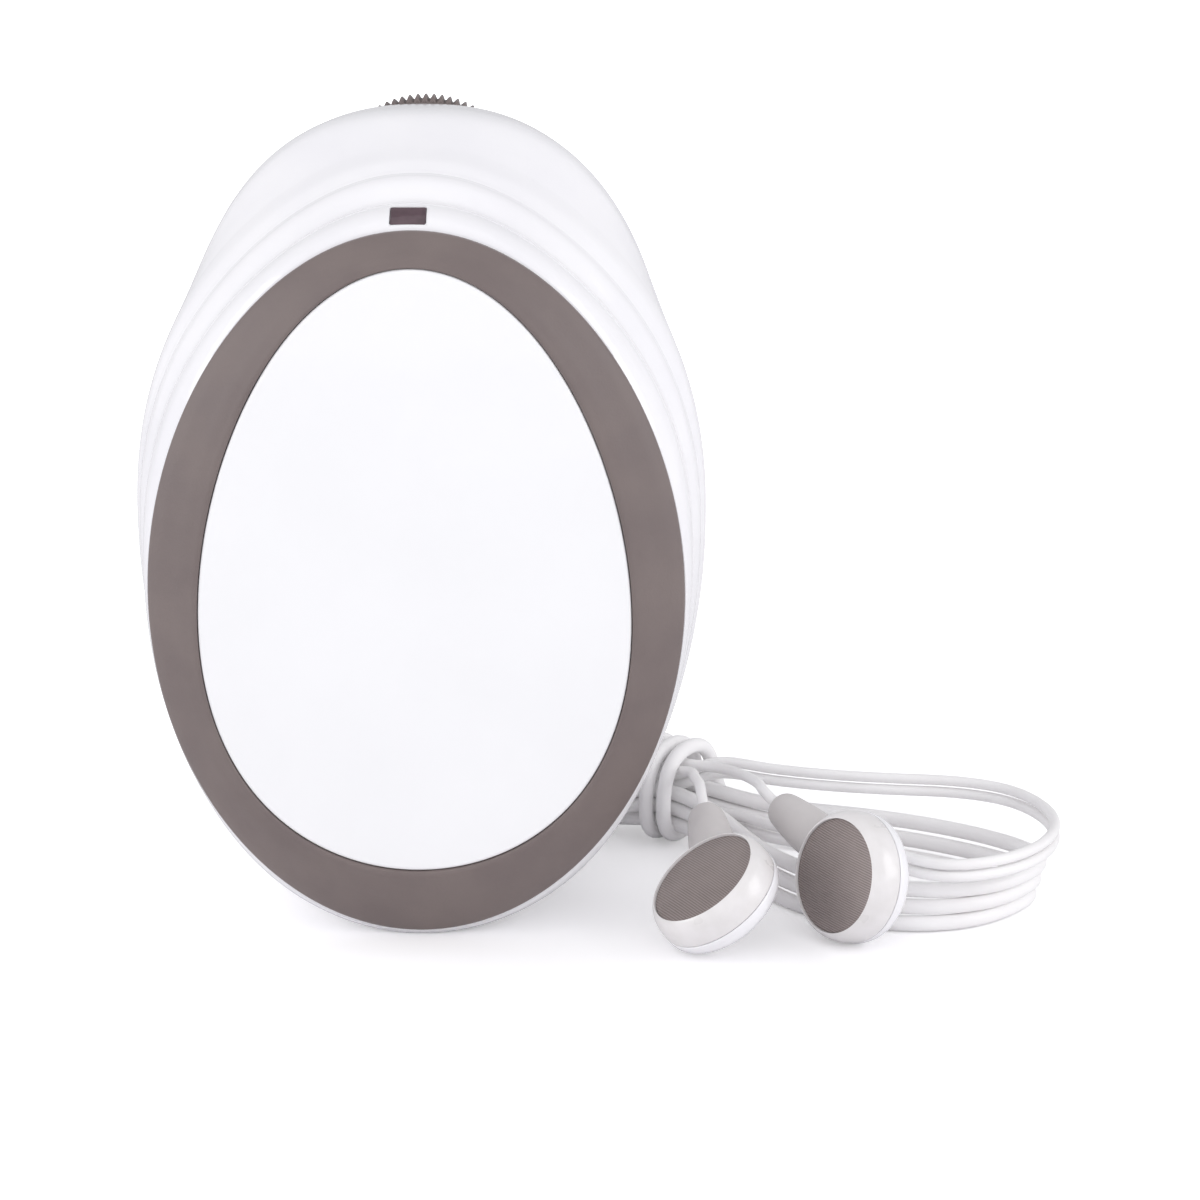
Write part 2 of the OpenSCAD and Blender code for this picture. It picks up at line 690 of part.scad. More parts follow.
module bud_left_front() facing(bud_left_at, bud_left_face, bud_left_stem) bud_front();
module bud_left_grille() facing(bud_left_at, bud_left_face, bud_left_stem) bud_grille();
module bud_left_rear() facing(bud_left_at, bud_left_face, bud_left_stem) bud_rear();
module bud_left_driver() facing(bud_left_at, bud_left_face, bud_left_stem) bud_driver();
module bud_left_boot() facing(bud_left_at, bud_left_face, bud_left_stem) bud_boot();
module bud_right_front() facing(bud_right_at, bud_right_face, bud_right_stem) bud_front();
module bud_right_grille() facing(bud_right_at, bud_right_face, bud_right_stem) bud_grille();
module bud_right_rear() facing(bud_right_at, bud_right_face, bud_right_stem) bud_rear();
module bud_right_driver() facing(bud_right_at, bud_right_face, bud_right_stem) bud_driver();
module bud_right_boot() facing(bud_right_at, bud_right_face, bud_right_stem) bud_boot();

// ---------- leads ----------

// World point of a place given along and beside the hank
function place(run, side, z) = let (p = waist + run * run_dir + side * side_dir) [p[0], p[1], z];

// A loop of the hank: out to the right lobe, round, through the waist, round the
// left lobe and back. Angle 0 is the near run at the waist; the climb to the next
// loop is on the left lobe.
function hank_at(turn) =
    let (
        a = 360 * (turn - floor(turn)),
        s = sin(a),
        right = a < 180,
        reach = right ? lobe_right + 0.5 * turn : lobe_left,
        wide = a < 90 ? near_wide - 1.5 * turn : right ? 5 + 2 * turn : a < 270 ? left_far : left_near,
        side = -power(cos(a), a < 90 ? 0.65 : 1) * (waist_gap + wide * s * s / (s * s + (right ? 0.12 : 0.06))),
        up = floor(turn) + max(0, min(1, (a - 190) / 160)),
        run = reach * power(s, right ? 0.8 : 1)
    )
    place(run, side, 1.02 + loop_pitch * up + lift * exp(-pow(run / 9, 2)));

hank_line = concat(
    [for (p = [[-15.5, -0.6, 2.1], [-13, -0.8, 2.0], [-9, -1.9, 1.95], [-5, -2.6, 2.7]])
        place(p[0], p[1], p[2])],
    [for (i = [0 : 24 * hank_loops - 1]) each (i % 24 == 0 || i % 24 == 5 ? [hank_at(i / 24), hank_at((i + 0.5) / 24)] : [hank_at(i / 24)])]
);
bind_line = concat(
    [hank_line[len(hank_line) - 1]],
    [for (p = [[-8.2, -6.4, 8.9], [-6, -6.1, 9.6]]) place(p[0], p[1], p[2])],
    [for (i = [0 : bind_turns * 20])
        let (f = i / (bind_turns * 20), a = 155 - 360 * bind_turns * f)
        place(-3.3 + bind_run * f, bind_wide * power(cos(a), 0.8), bind_mid + bind_high * power(sin(a), 0.8))]
);
function stem_axis(face, side) = let (z = unit(face)) cos(stem_lean) * unit(side - (side * z) * z) + sin(stem_lean) * z;
function stem_point(at, face, side, reach) = at - 5.4 * unit(face) + reach * stem_axis(face, side);
function branch_line(rise, back, over, at, face, side) = curve(concat(
    [for (p = branch_out) place(p[0], p[1], p[2] + rise)],
    [for (p = back) place(p[0], p[1], p[2])],
    over,
    [for (r = [18.9, 16.9, 13.5]) stem_point(at, face, side, r)]
), 2);
left_line = branch_line(0, left_back, left_over, bud_left_at, bud_left_face, bud_left_stem);
right_line = branch_line(branch_step, right_back, right_over, bud_right_at, bud_right_face, bud_right_stem);
tail_line = curve(concat(
    [bind_line[len(bind_line) - 1]],
    [for (p = tail_out) place(p[0], p[1], p[2])],
    tail_end,
    [plug_at + [0.4, 0, 0]]
), 3);

// Length of a line of points and the least distance from one stretch of it to another
function length_of(p) = [for (i = 0, s = 0; i < len(p); s = s + (i + 1 < len(p) ? norm(p[i + 1] - p[i]) : 0), i = i + 1) s][len(p) - 1];
function gap_between(p, q, skip) = min([
    for (i = [0 : len(p) - 1], j = [0 : len(q) - 2])
        if (skip == 0 || j > i + skip || j + 1 < i - skip)
            let (d = q[j + 1] - q[j], t = max(0, min(1, (p[i] - q[j]) * d / (d * d))))
            norm(p[i] - q[j] - t * d)
]);
echo(hank_mm = length_of(hank_line), bind_mm = length_of(bind_line), tail_mm = length_of(tail_line));
echo(left_mm = length_of(left_line), right_mm = length_of(right_line));
echo(hank_gap = gap_between(hank_line, hank_line, 4) - 2 * lead_r);
echo(bind_gap = gap_between(bind_line, bind_line, 8) - 2 * lead_r);
echo(branch_gap = gap_between(left_line, right_line, 0) - 2 * branch_r);

module lead_hank() {
    color([0.93, 0.92, 0.93]) tube(hank_line, lead_r, 6);
}

module lead_wrap() {
    color([0.93, 0.92, 0.93]) tube(bind_line, lead_r, 6);
}

module branch_left() {
    color([0.93, 0.92, 0.93]) tube(left_line, branch_r, 8);
}

module branch_right() {
    color([0.93, 0.92, 0.93]) tube(right_line, branch_r, 8);
}

module lead_tail() {
    color([0.93, 0.92, 0.93]) tube(tail_line, lead_r, 8);
}

module y_splitter() {
    color([0.86, 0.85, 0.86])
    facing(place(-26, -1, 2.55), [run_dir[0], run_dir[1], 0], [0, 0, 1])
        rotate_extrude()
            polygon([[0, 0], [2.3, 0], [2.45, 0.5], [2.45, 6], [1.9, 8.2], [1.3, 10.5], [0, 10.5]]);
}

module plug_grip() {
    color([0.86, 0.85, 0.86])
    translate(plug_at) rotate([0, -90, 0])
        difference() {
            rotate_extrude()
                polygon([[0, 0], [1.6, 0], [1.9, 5], [2.9, 6.5], [3.25, 8.5], [3.25, 19.5], [3.0, 20], [0, 20]]);
            for (k = [0 : 3])
                translate([0, 0, 10 + 2 * k])
                    difference() {
                        cylinder(r = 4, h = 0.7);
                        cylinder(r = 2.95, h = 0.7);
                    }
        }
}

module plug_tip() {
    color([0.83, 0.72, 0.45])
    translate(plug_at - [20, 0, 0]) rotate([0, -90, 0])
        rotate_extrude()
            polygon([
                [0, 0], [2.5, 0], [2.5, 0.7], [1.74, 0.7], [1.74, 5.4], [1.6, 5.4], [1.6, 5.9],
                [1.74, 5.9], [1.74, 8.2], [1.6, 8.2], [1.6, 8.7], [1.74, 8.7], [1.74, 10.8], [1.2, 11.6],
                [1.2, 12], [1.6, 12.7], [1.6, 13.1], [0.5, 14.4], [0, 14.4]
            ]);
}

// ---------- assembly ----------

front_shell();
rear_shell();
trim_ring();
front_panel();
indicator_window();
volume_wheel();
wheel_screw();
pot_body();
main_board();
control_chip();
amplifier_chip();
quartz_crystal();
capacitors();
indicator_led();
transducer_face();
transducer_cup();
transmit_crystal();
receive_crystal();
backing_block();
seal_ring();
transducer_lead();
battery_cover();
battery_upper();
battery_lower();
contact_springs();
contact_plates();
case_screws();
earphone_socket();
bud_left_front();
bud_left_grille();
bud_left_rear();
bud_left_driver();
bud_left_boot();
bud_right_front();
bud_right_grille();
bud_right_rear();
bud_right_driver();
bud_right_boot();
branch_left();
branch_right();
y_splitter();
lead_hank();
lead_wrap();
lead_tail();
plug_grip();
plug_tip();
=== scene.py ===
import bmesh
import bpy
import math
import numpy as np
from mathutils import Matrix, Vector


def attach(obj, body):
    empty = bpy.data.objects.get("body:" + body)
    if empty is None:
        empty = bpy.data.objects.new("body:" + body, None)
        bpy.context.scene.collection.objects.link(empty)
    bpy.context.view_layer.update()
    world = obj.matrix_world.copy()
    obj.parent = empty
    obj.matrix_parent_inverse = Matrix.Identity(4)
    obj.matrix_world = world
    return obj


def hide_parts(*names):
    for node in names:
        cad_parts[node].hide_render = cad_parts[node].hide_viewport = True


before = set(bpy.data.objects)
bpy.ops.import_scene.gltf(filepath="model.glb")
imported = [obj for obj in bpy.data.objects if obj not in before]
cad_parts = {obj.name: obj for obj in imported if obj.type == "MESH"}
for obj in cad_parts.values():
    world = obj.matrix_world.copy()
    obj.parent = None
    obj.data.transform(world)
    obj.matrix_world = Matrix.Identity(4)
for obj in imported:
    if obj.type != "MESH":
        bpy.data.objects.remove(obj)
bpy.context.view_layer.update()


# ---------- Camera ----------
# The photograph looks a little down on the face from about half a metre. The angles and the
# lens come from the outlines of the ring, the case and the wheel in the photograph.
azimuth, elevation, tilt = math.radians(1.04), math.radians(14.54), math.radians(0.09)
toward_camera = Vector((
    math.sin(azimuth) * math.cos(elevation), -math.cos(azimuth) * math.cos(elevation), math.sin(elevation)))
level_right = Vector((math.cos(azimuth), math.sin(azimuth), 0))
level_up = toward_camera.cross(level_right)
photo_right = level_right * math.cos(tilt) - level_up * math.sin(tilt)
photo_up = level_right * math.sin(tilt) + level_up * math.cos(tilt)

camera = bpy.data.objects.new("camera", bpy.data.cameras.new("camera"))
bpy.context.scene.collection.objects.link(camera)
camera.matrix_world = Matrix((
    (photo_right.x, photo_up.x, toward_camera.x, 0.02251 + 0.5 * toward_camera.x),
    (photo_right.y, photo_up.y, toward_camera.y, -0.01675 + 0.5 * toward_camera.y),
    (photo_right.z, photo_up.z, toward_camera.z, 0.04344 + 0.5 * toward_camera.z),
    (0, 0, 0, 1)))
camera.data.sensor_width = 36
camera.data.lens = 4084 / 1200 * 36
bpy.context.scene.camera = camera


# ---------- Earphone leads ----------
# Two thin leads, one to each earbud, meet in a splitter; the thicker main lead runs on from it.
# All of it is folded into one flat hank beside the case, and the main lead binds its waist
# before it runs out to the plug. Extruded PVC-free TPE over twisted copper, 2.0 and 1.4 mm.

waist = (31.5, 23.5)                 # middle of the hank on the table, in mm
run_way = (0.875, -0.484)            # along the hank, out to the right loops
side_way = (0.484, 0.875)            # across the hank, away from the face
lead_radius, branch_radius = 1.0, 0.7
loop_rise = 2.05                     # the loops lie on each other, a diameter apart


def place(run, side, height):
    return Vector((waist[0] + run * run_way[0] + side * side_way[0],
                   waist[1] + run * run_way[1] + side * side_way[1], height))


def smooth_line(points, steps):
    """Catmull-Rom line through the points, which may be numbers in two or three directions."""
    p = [np.array(q, float) for q in points]
    line = []
    for i in range(len(p) - 1):
        a, b, c, d = p[max(i - 1, 0)], p[i], p[i + 1], p[min(i + 2, len(p) - 1)]
        for k in range(steps):
            t = k / steps
            line.append(0.5 * (2 * b + (c - a) * t + (2 * a - 5 * b + 4 * c - d) * t * t
                               + (3 * b - a - 3 * c + d) * t ** 3))
    return line + [p[-1]]


def relaxed(route, reach):
    """The same route as a limp lead takes it: a point each 0.4 mm, the mean of the route within
    reach of it, so that no bend is sharper than the lead allows. Both ends stay."""
    p = np.array([tuple(q) for q in route], float)
    along = np.r_[0, np.cumsum(np.linalg.norm(np.diff(p, axis=0), axis=1))]
    spots = np.linspace(0, along[-1], int(along[-1] / 0.4))
    room = np.minimum(reach, np.minimum(spots, along[-1] - spots))
    line = sum(np.stack([np.interp(spots + f * room, along, p[:, k]) for k in range(3)], 1)
               for f in np.linspace(-1, 1, 21)) / 21
    return [Vector(q) for q in line]


def rounded(value, power):
    return math.copysign(abs(value) ** power, value)


def loop_point(turn):
    """A place on the hank's loops. Whole turns are the near run at the waist."""
    a = 2 * math.pi * (turn % 1)
    s = math.sin(a)
    right, near = a < math.pi, a < math.pi / 2
    reach = 53 + 0.5 * turn if right else 38
    wide = (29 - 1.5 * turn if near else 5 + 2 * turn) if right else (9 if a < 1.5 * math.pi else 8)
    side = -rounded(math.cos(a), 0.65 if near else 1) * (2.2 + wide * s * s / (s * s + (0.12 if right else 0.06)))
    climb = int(turn) + max(0.0, min(1.0, (math.degrees(a) - 190) / 160))
    run = reach * rounded(s, 0.8 if right else 1)
    return place(run, side, 1.02 + loop_rise * climb + 2.45 * math.exp(-(run / 9) ** 2))


loops = relaxed(smooth_line(
    [place(*p) for p in ((-15.5, -0.6, 2.1), (-13, -0.8, 2.0), (-9, -1.9, 1.95), (-5, -2.6, 2.7))]
    + [loop_point(i / 72) for i in range(214)], 2), 4.2)
binding = smooth_line(
    [loops[-1]] + [place(-7.9, -6.5, 8.7), place(-5.5, -6.3, 9.3)]
    + [place(-3.3 + 6.4 * i / 60, 5.8 * rounded(math.cos(math.radians(155 - 14.52 * i)), 0.8),
             7.08 + 6.05 * rounded(math.sin(math.radians(155 - 14.52 * i)), 0.8)) for i in range(1, 61)], 3)
plug_spot = Vector((6, 55, 3.3))
tail = smooth_line(
    [binding[-1]] + [place(*p) for p in ((3.2, 7.6, 4.8), (0.8, 9.6, 1.9), (-5, 11.4, 1.05))]
    + [(29.5, 43, 1.05), (25, 49.3, 1.05), (18.5, 53.6, 1.05), (12, 54.9, 1.7), (8.5, 55, 3.0),
       tuple(plug_spot + Vector((0.4, 0, 0)))], 8)
main_route = relaxed(loops + binding[1:] + tail[1:], 1.8)


def unit(v):
    return Vector(v).normalized()


stem_lean, stem_root = 12, 5.4       # degrees toward the grille, and mm behind it


def stem_spot(middle, face, stem, reach):
    """A point on an earbud's stem."""
    z = unit(face)
    y = unit(Vector(stem) - Vector(stem).dot(z) * z)
    lean = math.radians(stem_lean)
    return Vector(middle) - stem_root * z + reach * (math.cos(lean) * y + math.sin(lean) * z)


earbuds = {
    "left": ((35.1, -21.7, 9.5), (-0.555, -0.283, 0.784), (-0.040, 0.949, 0.314)),
    "right": ((51.4, -19.2, 8.9), (-0.775, -0.587, 0.236), (-0.505, 0.799, 0.327)),
}
shared_way = (
    (-25.5, -1.2, 1.6), (-28.5, -1.9, 1.6), (-31.3, -1.1, 1.65), (-32, 1.2, 1.8), (-30.4, 3.2, 2.05),
    (-26.5, 3.9, 2.6), (-19, 3.0, 4.6), (-11, 2.2, 6.4), (-5, 0.6, 7.0), (0, 0, 7.0), (5.8, 1.7, 9.6),
    (12, 2.6, 9.4), (17.5, 3.6, 9.3), (23.7, 5.8, 9.1), (29.6, 8.6, 8.9), (35.5, 11.6, 8.7),
    (41.7, 12.8, 8.5), (47, 11, 8.4), (52, 6.7, 8.3), (54.9, 1.8, 8.2), (56.3, -4.4, 8.1),
    (55.6, -11.1, 8.1), (52.9, -16.4, 8.1), (49.2, -19.3, 8.1), (45, -19.2, 8.1), (40, -17.6, 8.1),
    (34, -15.4, 7.6), (27, -12.4, 6.8), (19.5, -8.45, 5.5), (13, -3.95, 4.4), (9, -1.7, 3.65),
    (5, -0.6, 3.3), (0, 0, 3.2))
back_way = {
    "left": ((-5, -0.05, 3.3), (-9.2, -0.9, 4.0), (-12.6, -1.7, 5.4), (-14, -2.2, 7.6), (-12.4, -2.5, 9.7),
             (-7, -2.6, 10.5), (-3, -2.6, 10.4), (0, -2.6, 10.4), (3, -2.75, 10.4)),
    "right": ((-4, -0.1, 4.9), (-7.3, -0.3, 5.2), (-10, -0.55, 6.3), (-11.1, -0.65, 8.3), (-9.6, -0.5, 10.3),
              (-5, -0.45, 11), (-2, -0.6, 11), (0, -0.8, 11), (3, -1.0, 11)),
}
over_way = {
    "left": ((34.0, 17.6, 11.1), (34.4, 12.0, 12.0), (34.6, 6.2, 13.4), (35.0, 0.5, 14.5)),
    "right": ((37.6, 19, 11.2), (40.5, 12.4, 12.3), (42.1, 4.6, 13.8), (42.8, -0.6, 14.7)),
}
branch_rise = {"left": 0.0, "right": 1.6}


def branch_route(side):
    middle, face, stem = earbuds[side]
    return relaxed(smooth_line(
        [place(r, s, h + branch_rise[side]) for r, s, h in shared_way]
        + [place(*p) for p in back_way[side]] + [Vector(p) for p in over_way[side]]
        + [stem_spot(middle, face, stem, reach) for reach in (18.9, 16.9, 13.5)], 8), 2.8)


def linear(hex_code):
    """An sRGB hex colour as Blender's linear values."""
    parts = [int(hex_code[i:i + 2], 16) / 255 for i in (1, 3, 5)]
    return tuple(p / 12.92 if p <= 0.04045 else ((p + 0.055) / 1.055) ** 2.4 for p in parts) + (1,)


def add_node(finish, kind, settings, links=()):
    """One shader node with its settings and the links into it."""
    node = finish.node_tree.nodes.new("ShaderNode" + kind)
    for key, value in settings.items():
        if isinstance(key, str) and hasattr(node, key):
            setattr(node, key, value)
        else:
            node.inputs[key].default_value = value
    for socket, source in links:
        finish.node_tree.links.new(source, node.inputs[socket])
    return node


def moulded(name, light, dark, patch_mm, grain_mm, grain_deep_mm, rough, rough_worn, gloss):
    """A moulded or extruded plastic: patches of slightly uneven colour and shine, and a fine
    grain from the tool. light and dark are its two nearest shades, sizes are real millimetres."""
    finish = bpy.data.materials.new(name)
    finish.use_nodes = True
    shader = finish.node_tree.nodes["Principled BSDF"]
    for socket, value in gloss.items():
        shader.inputs[socket].default_value = value
    spot = add_node(finish, "TexCoord", {})
    patch = add_node(finish, "TexNoise", {"Scale": 1000 / patch_mm, "Detail": 3.0, "Roughness": 0.5},
                     [("Vector", spot.outputs["Object"])])
    shade = add_node(finish, "ValToRGB", {}, [("Fac", patch.outputs["Fac"])])
    shade.color_ramp.elements[0].position, shade.color_ramp.elements[1].position = 0.35, 0.65
    shade.color_ramp.elements[0].color, shade.color_ramp.elements[1].color = linear(dark), linear(light)
    shine = add_node(finish, "MapRange", {"From Min": 0.3, "From Max": 0.7, "To Min": rough, "To Max": rough_worn},
                     [("Value", patch.outputs["Fac"])])
    grain = add_node(finish, "TexNoise", {"Scale": 1000 / grain_mm, "Detail": 2.0},
                     [("Vector", spot.outputs["Object"])])
    relief = add_node(finish, "Bump", {"Strength": 1.0, "Distance": grain_deep_mm / 1000},
                      [("Height", grain.outputs["Fac"])])
    finish.node_tree.links.new(shade.outputs["Color"], shader.inputs["Base Color"])
    finish.node_tree.links.new(shine.outputs["Result"], shader.inputs["Roughness"])
    finish.node_tree.links.new(relief.outputs["Normal"], shader.inputs["Normal"])
    return finish


# TPE jacket as extruded: soft, half matte, faintly uneven along its length, with a skin of
# fine die lines that reads as a light grain. The grain is drawn at 0.3 mm so that it shows.
jacket_tpe = moulded("extruded_tpe_jacket", "#fdfcfc", "#f8f6f6", 9, 0.3, 0.006, 0.36, 0.44,
                     {"IOR": 1.48, "Coat Weight": 0.05, "Coat Roughness": 0.3})


def lay_lead(name, route, radius, finish):
    line = bpy.data.curves.new(name, "CURVE")
    line.dimensions = "3D"
    line.bevel_depth = radius / 1000
    line.bevel_resolution = 5
    line.use_fill_caps = True
    spline = line.splines.new("POLY")
    spline.points.add(len(route) - 1)
    for point, spot in zip(spline.points, route):
        point.co = (spot[0] / 1000, spot[1] / 1000, spot[2] / 1000, 1)
    spline.use_smooth = True
    lead = bpy.data.objects.new(name, line)
    bpy.context.scene.collection.objects.link(lead)
    line.materials.append(finish)
    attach(lead, "earphones")
    return lead


main_lead = lay_lead("main_lead", main_route, lead_radius, jacket_tpe)
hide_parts("lead_hank", "lead_wrap", "lead_tail")
branch_leads, branch_routes = {}, {}
for side in ("left", "right"):
    branch_routes[side] = branch_route(side)
    branch_leads[side] = lay_lead(side + "_branch_lead", branch_routes[side], branch_radius, jacket_tpe)
    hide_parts("branch_" + side)


# ---------- Splitter, plug grip and plug ----------
# The splitter and the grip of the 3.5 mm plug are moulded over the leads in the same TPE.
# The plug itself is turned brass, gold plated, with black rings between its contacts.


def stand(middle, z_way, y_way):
    """The place of a piece whose Z looks one way and whose Y leans to another, in metres."""
    z = unit(z_way)
    y = unit(Vector(y_way) - Vector(y_way).dot(z) * z)
    x = y.cross(z)
    m = Vector(middle) / 1000
    return Matrix(((x.x, y.x, z.x, m.x), (x.y, y.y, z.y, m.y), (x.z, y.z, z.z, m.z), (0, 0, 0, 1)))


def finish_mesh(name, mesh, finish, sharp=35):
    mesh.shade_smooth()
    mesh.set_sharp_from_angle(angle=math.radians(sharp))
    piece = bpy.data.objects.new(name, mesh)
    bpy.context.scene.collection.objects.link(piece)
    if finish:
        mesh.materials.append(finish)
    return piece


def lofted(name, rings, finish=None, sharp=35, capped=True):
    """A skin through rings of equal count, in mm, closed at its ends."""
    n = len(rings[0])
    build = bmesh.new()
    rows = [[build.verts.new((p[0] / 1000, p[1] / 1000, p[2] / 1000)) for p in ring] for ring in rings]
    for low, high in zip(rows, rows[1:]):
        for i in range(n):
            build.faces.new((low[i], low[(i + 1) % n], high[(i + 1) % n], high[i]))
    if capped:
        build.faces.new(rows[0][::-1])
        build.faces.new(rows[-1])
    bmesh.ops.recalc_face_normals(build, faces=build.faces)
    mesh = bpy.data.meshes.new(name)
    build.to_mesh(mesh)
    build.free()
    return finish_mesh(name, mesh, finish, sharp)


def turned(name, profile, finish, where, sides=96, sharp=35):
    """A turned piece: profile points are radius and height in mm, stood at a place."""
    rings = [[(r * math.cos(2 * math.pi * i / sides), r * math.sin(2 * math.pi * i / sides), h)
              for i in range(sides)] for r, h in ((max(r, 0.01), h) for r, h in profile)]
    piece = lofted(name, rings, finish, sharp)
    piece.matrix_world = where
    return piece


def join(name, pieces):
    """Several closed meshes as one piece in the place of the first."""
    build = bmesh.new()
    first = pieces[0]
    finishes = []
    for piece in pieces:
        mesh = piece.data.copy()
        mesh.transform(first.matrix_world.inverted() @ piece.matrix_world)
        for finish in mesh.materials:
            if finish not in finishes:
                finishes.append(finish)
        for polygon in mesh.polygons:
            if mesh.materials:
                slot = min(polygon.material_index, len(mesh.materials) - 1)
                polygon.material_index = finishes.index(mesh.materials[slot])
        build.from_mesh(mesh)
    where = first.matrix_world.copy()
    mesh = bpy.data.meshes.new(name)
    build.to_mesh(mesh)
    build.free()
    for piece in pieces:
        bpy.data.objects.remove(piece)
    mesh.materials.clear()
    for finish in finishes:
        mesh.materials.append(finish)
    whole = bpy.data.objects.new(name, mesh)
    bpy.context.scene.collection.objects.link(whole)
    whole.matrix_world = where
    return whole


# Overmoulded TPE: softer and a little greyer than the jacket, matte from a blasted tool.
overmould_tpe = moulded("overmoulded_tpe", "#e4e1e2", "#dad7d8", 6, 0.28, 0.01, 0.5, 0.6, {"IOR": 1.48})
# Gold over turned brass: turning marks round it at 0.2 mm, bright between them.
plug_gold = moulded("turned_gold_plate", "#e0c088", "#d2ae72", 2, 0.2, 0.003, 0.16, 0.26, {"Metallic": 1.0})
# Black PBT rings between the contacts, as moulded.
insulator_pbt = moulded("black_pbt_ring", "#232325", "#1a1a1c", 2, 0.2, 0.004, 0.35, 0.45, {"IOR": 1.55})

splitter_place = stand(place(-26, -1, 2.55), (run_way[0], run_way[1], 0), (0, 0, 1))
splitter = turned("lead_splitter", smooth_line(
    [(0, 0), (1.6, 0), (2.2, 0.12), (2.4, 0.5), (2.45, 1.2), (2.45, 6), (2.2, 7.2), (1.75, 8.7), (1.3, 10.2),
     (1.15, 10.5), (0, 10.5)], 4), overmould_tpe, splitter_place, 64, 60)
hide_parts("y_splitter")
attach(splitter, "earphones")

plug_place = stand(plug_spot, (-1, 0, 0), (0, 0, 1))
grip_outline = [(0, 0), (1.15, 0), (1.5, 0.2), (1.6, 0.6), (1.75, 3), (1.9, 5), (2.35, 5.9), (2.9, 6.7),
                (3.2, 7.8), (3.25, 9)]
for k in range(4):
    grip_outline += [(r, h + 2 * k) for r, h in (
        (3.25, 9.9), (3.2, 10.0), (2.97, 10.1), (2.97, 10.6), (3.2, 10.7), (3.25, 10.8))]
grip_outline += [(3.25, 19.2), (3.1, 19.8), (2.8, 20), (0, 20)]
plug_grip = turned("plug_grip_moulding", grip_outline, overmould_tpe, plug_place, 72)
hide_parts("plug_grip")
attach(plug_grip, "earphones")

plug_end = stand(plug_spot - Vector((20, 0, 0)), (-1, 0, 0), (0, 0, 1))
plug_metal = turned("plug_contacts", [
    (0, 0.02), (2.4, 0.02), (2.5, 0.12), (2.5, 0.6), (2.4, 0.7), (1.74, 0.7), (1.74, 5.4), (1.55, 5.45),
    (1.55, 5.85), (1.74, 5.9), (1.74, 8.2), (1.55, 8.25), (1.55, 8.65), (1.74, 8.7), (1.74, 10.6), (1.6, 11.1),
    (1.22, 11.6), (1.2, 12.0), (1.35, 12.3), (1.6, 12.7), (1.6, 13.1), (1.3, 13.6), (0.9, 14.0), (0.5, 14.3),
    (0, 14.4)],
    plug_gold, plug_end, 64)
rings_black = [turned("ring_black", [(1.2, low), (1.7, low), (1.7, low + 0.42), (1.2, low + 0.42)],
                      insulator_pbt, plug_end, 48) for low in (5.44, 8.24)]
plug_metal = join("plug_contacts", [plug_metal] + rings_black)
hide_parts("plug_tip")
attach(plug_metal, "earphones")


# ---------- Earbuds ----------
# Each earbud is a pearl-painted ABS rim snapped to a white ABS back, with a fine taupe mesh
# pressed into the rim over the driver, and a soft rubber boot on its short stem.

# ABS as moulded in a polished tool: cool white, high gloss, a faint long-wave ripple.
white_abs = moulded("polished_white_abs", "#faf9fb", "#f6f5f8", 14, 1.6, 0.004, 0.14, 0.2,
                    {"IOR": 1.53, "Coat Weight": 0.3, "Coat Roughness": 0.06})
# Pearl lacquer over ABS: warm grey-white, satin, flakes finer than 0.2 mm under a clear coat.
pearl_lacquer = moulded("pearl_lacquer", "#efecec", "#e8e5e4", 3, 0.2, 0.005, 0.26, 0.34,
                        {"IOR": 1.5, "Coat Weight": 0.5, "Coat Roughness": 0.12, "Sheen Weight": 0.1})
# Silicone rubber boot: light grey, matte, powdery.
boot_silicone = moulded("matte_silicone", "#d0cccb", "#c8c4c3", 5, 0.25, 0.012, 0.6, 0.72,
                        {"IOR": 1.43, "Sheen Weight": 0.15})

# Woven steel mesh lacquered taupe: ribs 0.3 mm apart that fall to the right, with the cross
# wires between them at the same pitch, much flatter.
mesh_taupe = bpy.data.materials.new("woven_taupe_mesh")
mesh_taupe.use_nodes = True
mesh_shader = mesh_taupe.node_tree.nodes["Principled BSDF"]
mesh_shader.inputs["Roughness"].default_value = 0.42
mesh_shader.inputs["Metallic"].default_value = 0.25
mesh_spot = add_node(mesh_taupe, "TexCoord", {})
mesh_turn = add_node(mesh_taupe, "Mapping", {"Rotation": (0, 0, math.radians(-14.5))},
                     [("Vector", mesh_spot.outputs["Object"])])
# A wave texture repeats every 0.314 of its own units, so the scale is 0.314 over the pitch.
mesh_scale = 0.31416 / 0.0003
mesh_ribs = add_node(mesh_taupe, "TexWave", {"wave_type": "BANDS", "bands_direction": "X", "Scale": mesh_scale,
                                             "Distortion": 0.15, "Detail Scale": 2.0},
                     [("Vector", mesh_turn.outputs["Vector"])])
mesh_cross = add_node(mesh_taupe, "TexWave", {"wave_type": "BANDS", "bands_direction": "Y", "Scale": mesh_scale},
                      [("Vector", mesh_turn.outputs["Vector"])])
mesh_height = add_node(mesh_taupe, "Math", {"operation": "MULTIPLY_ADD", 1: 0.12},
                       [(0, mesh_cross.outputs["Fac"]), (2, mesh_ribs.outputs["Fac"])])
mesh_patch = add_node(mesh_taupe, "TexNoise", {"Scale": 300.0, "Detail": 3.0},
                      [("Vector", mesh_spot.outputs["Object"])])
mesh_level = add_node(mesh_taupe, "Math", {"operation": "MULTIPLY_ADD", 1: 0.5},
                      [(0, mesh_patch.outputs["Fac"]), (2, mesh_height.outputs["Value"])])
mesh_shade = add_node(mesh_taupe, "ValToRGB", {}, [("Fac", mesh_level.outputs["Value"])])
for step, position, tone in zip(mesh_shade.color_ramp.elements, (0.2, 1.0), ("#756a68", "#9c918e")):
    step.position, step.color = position, linear(tone)
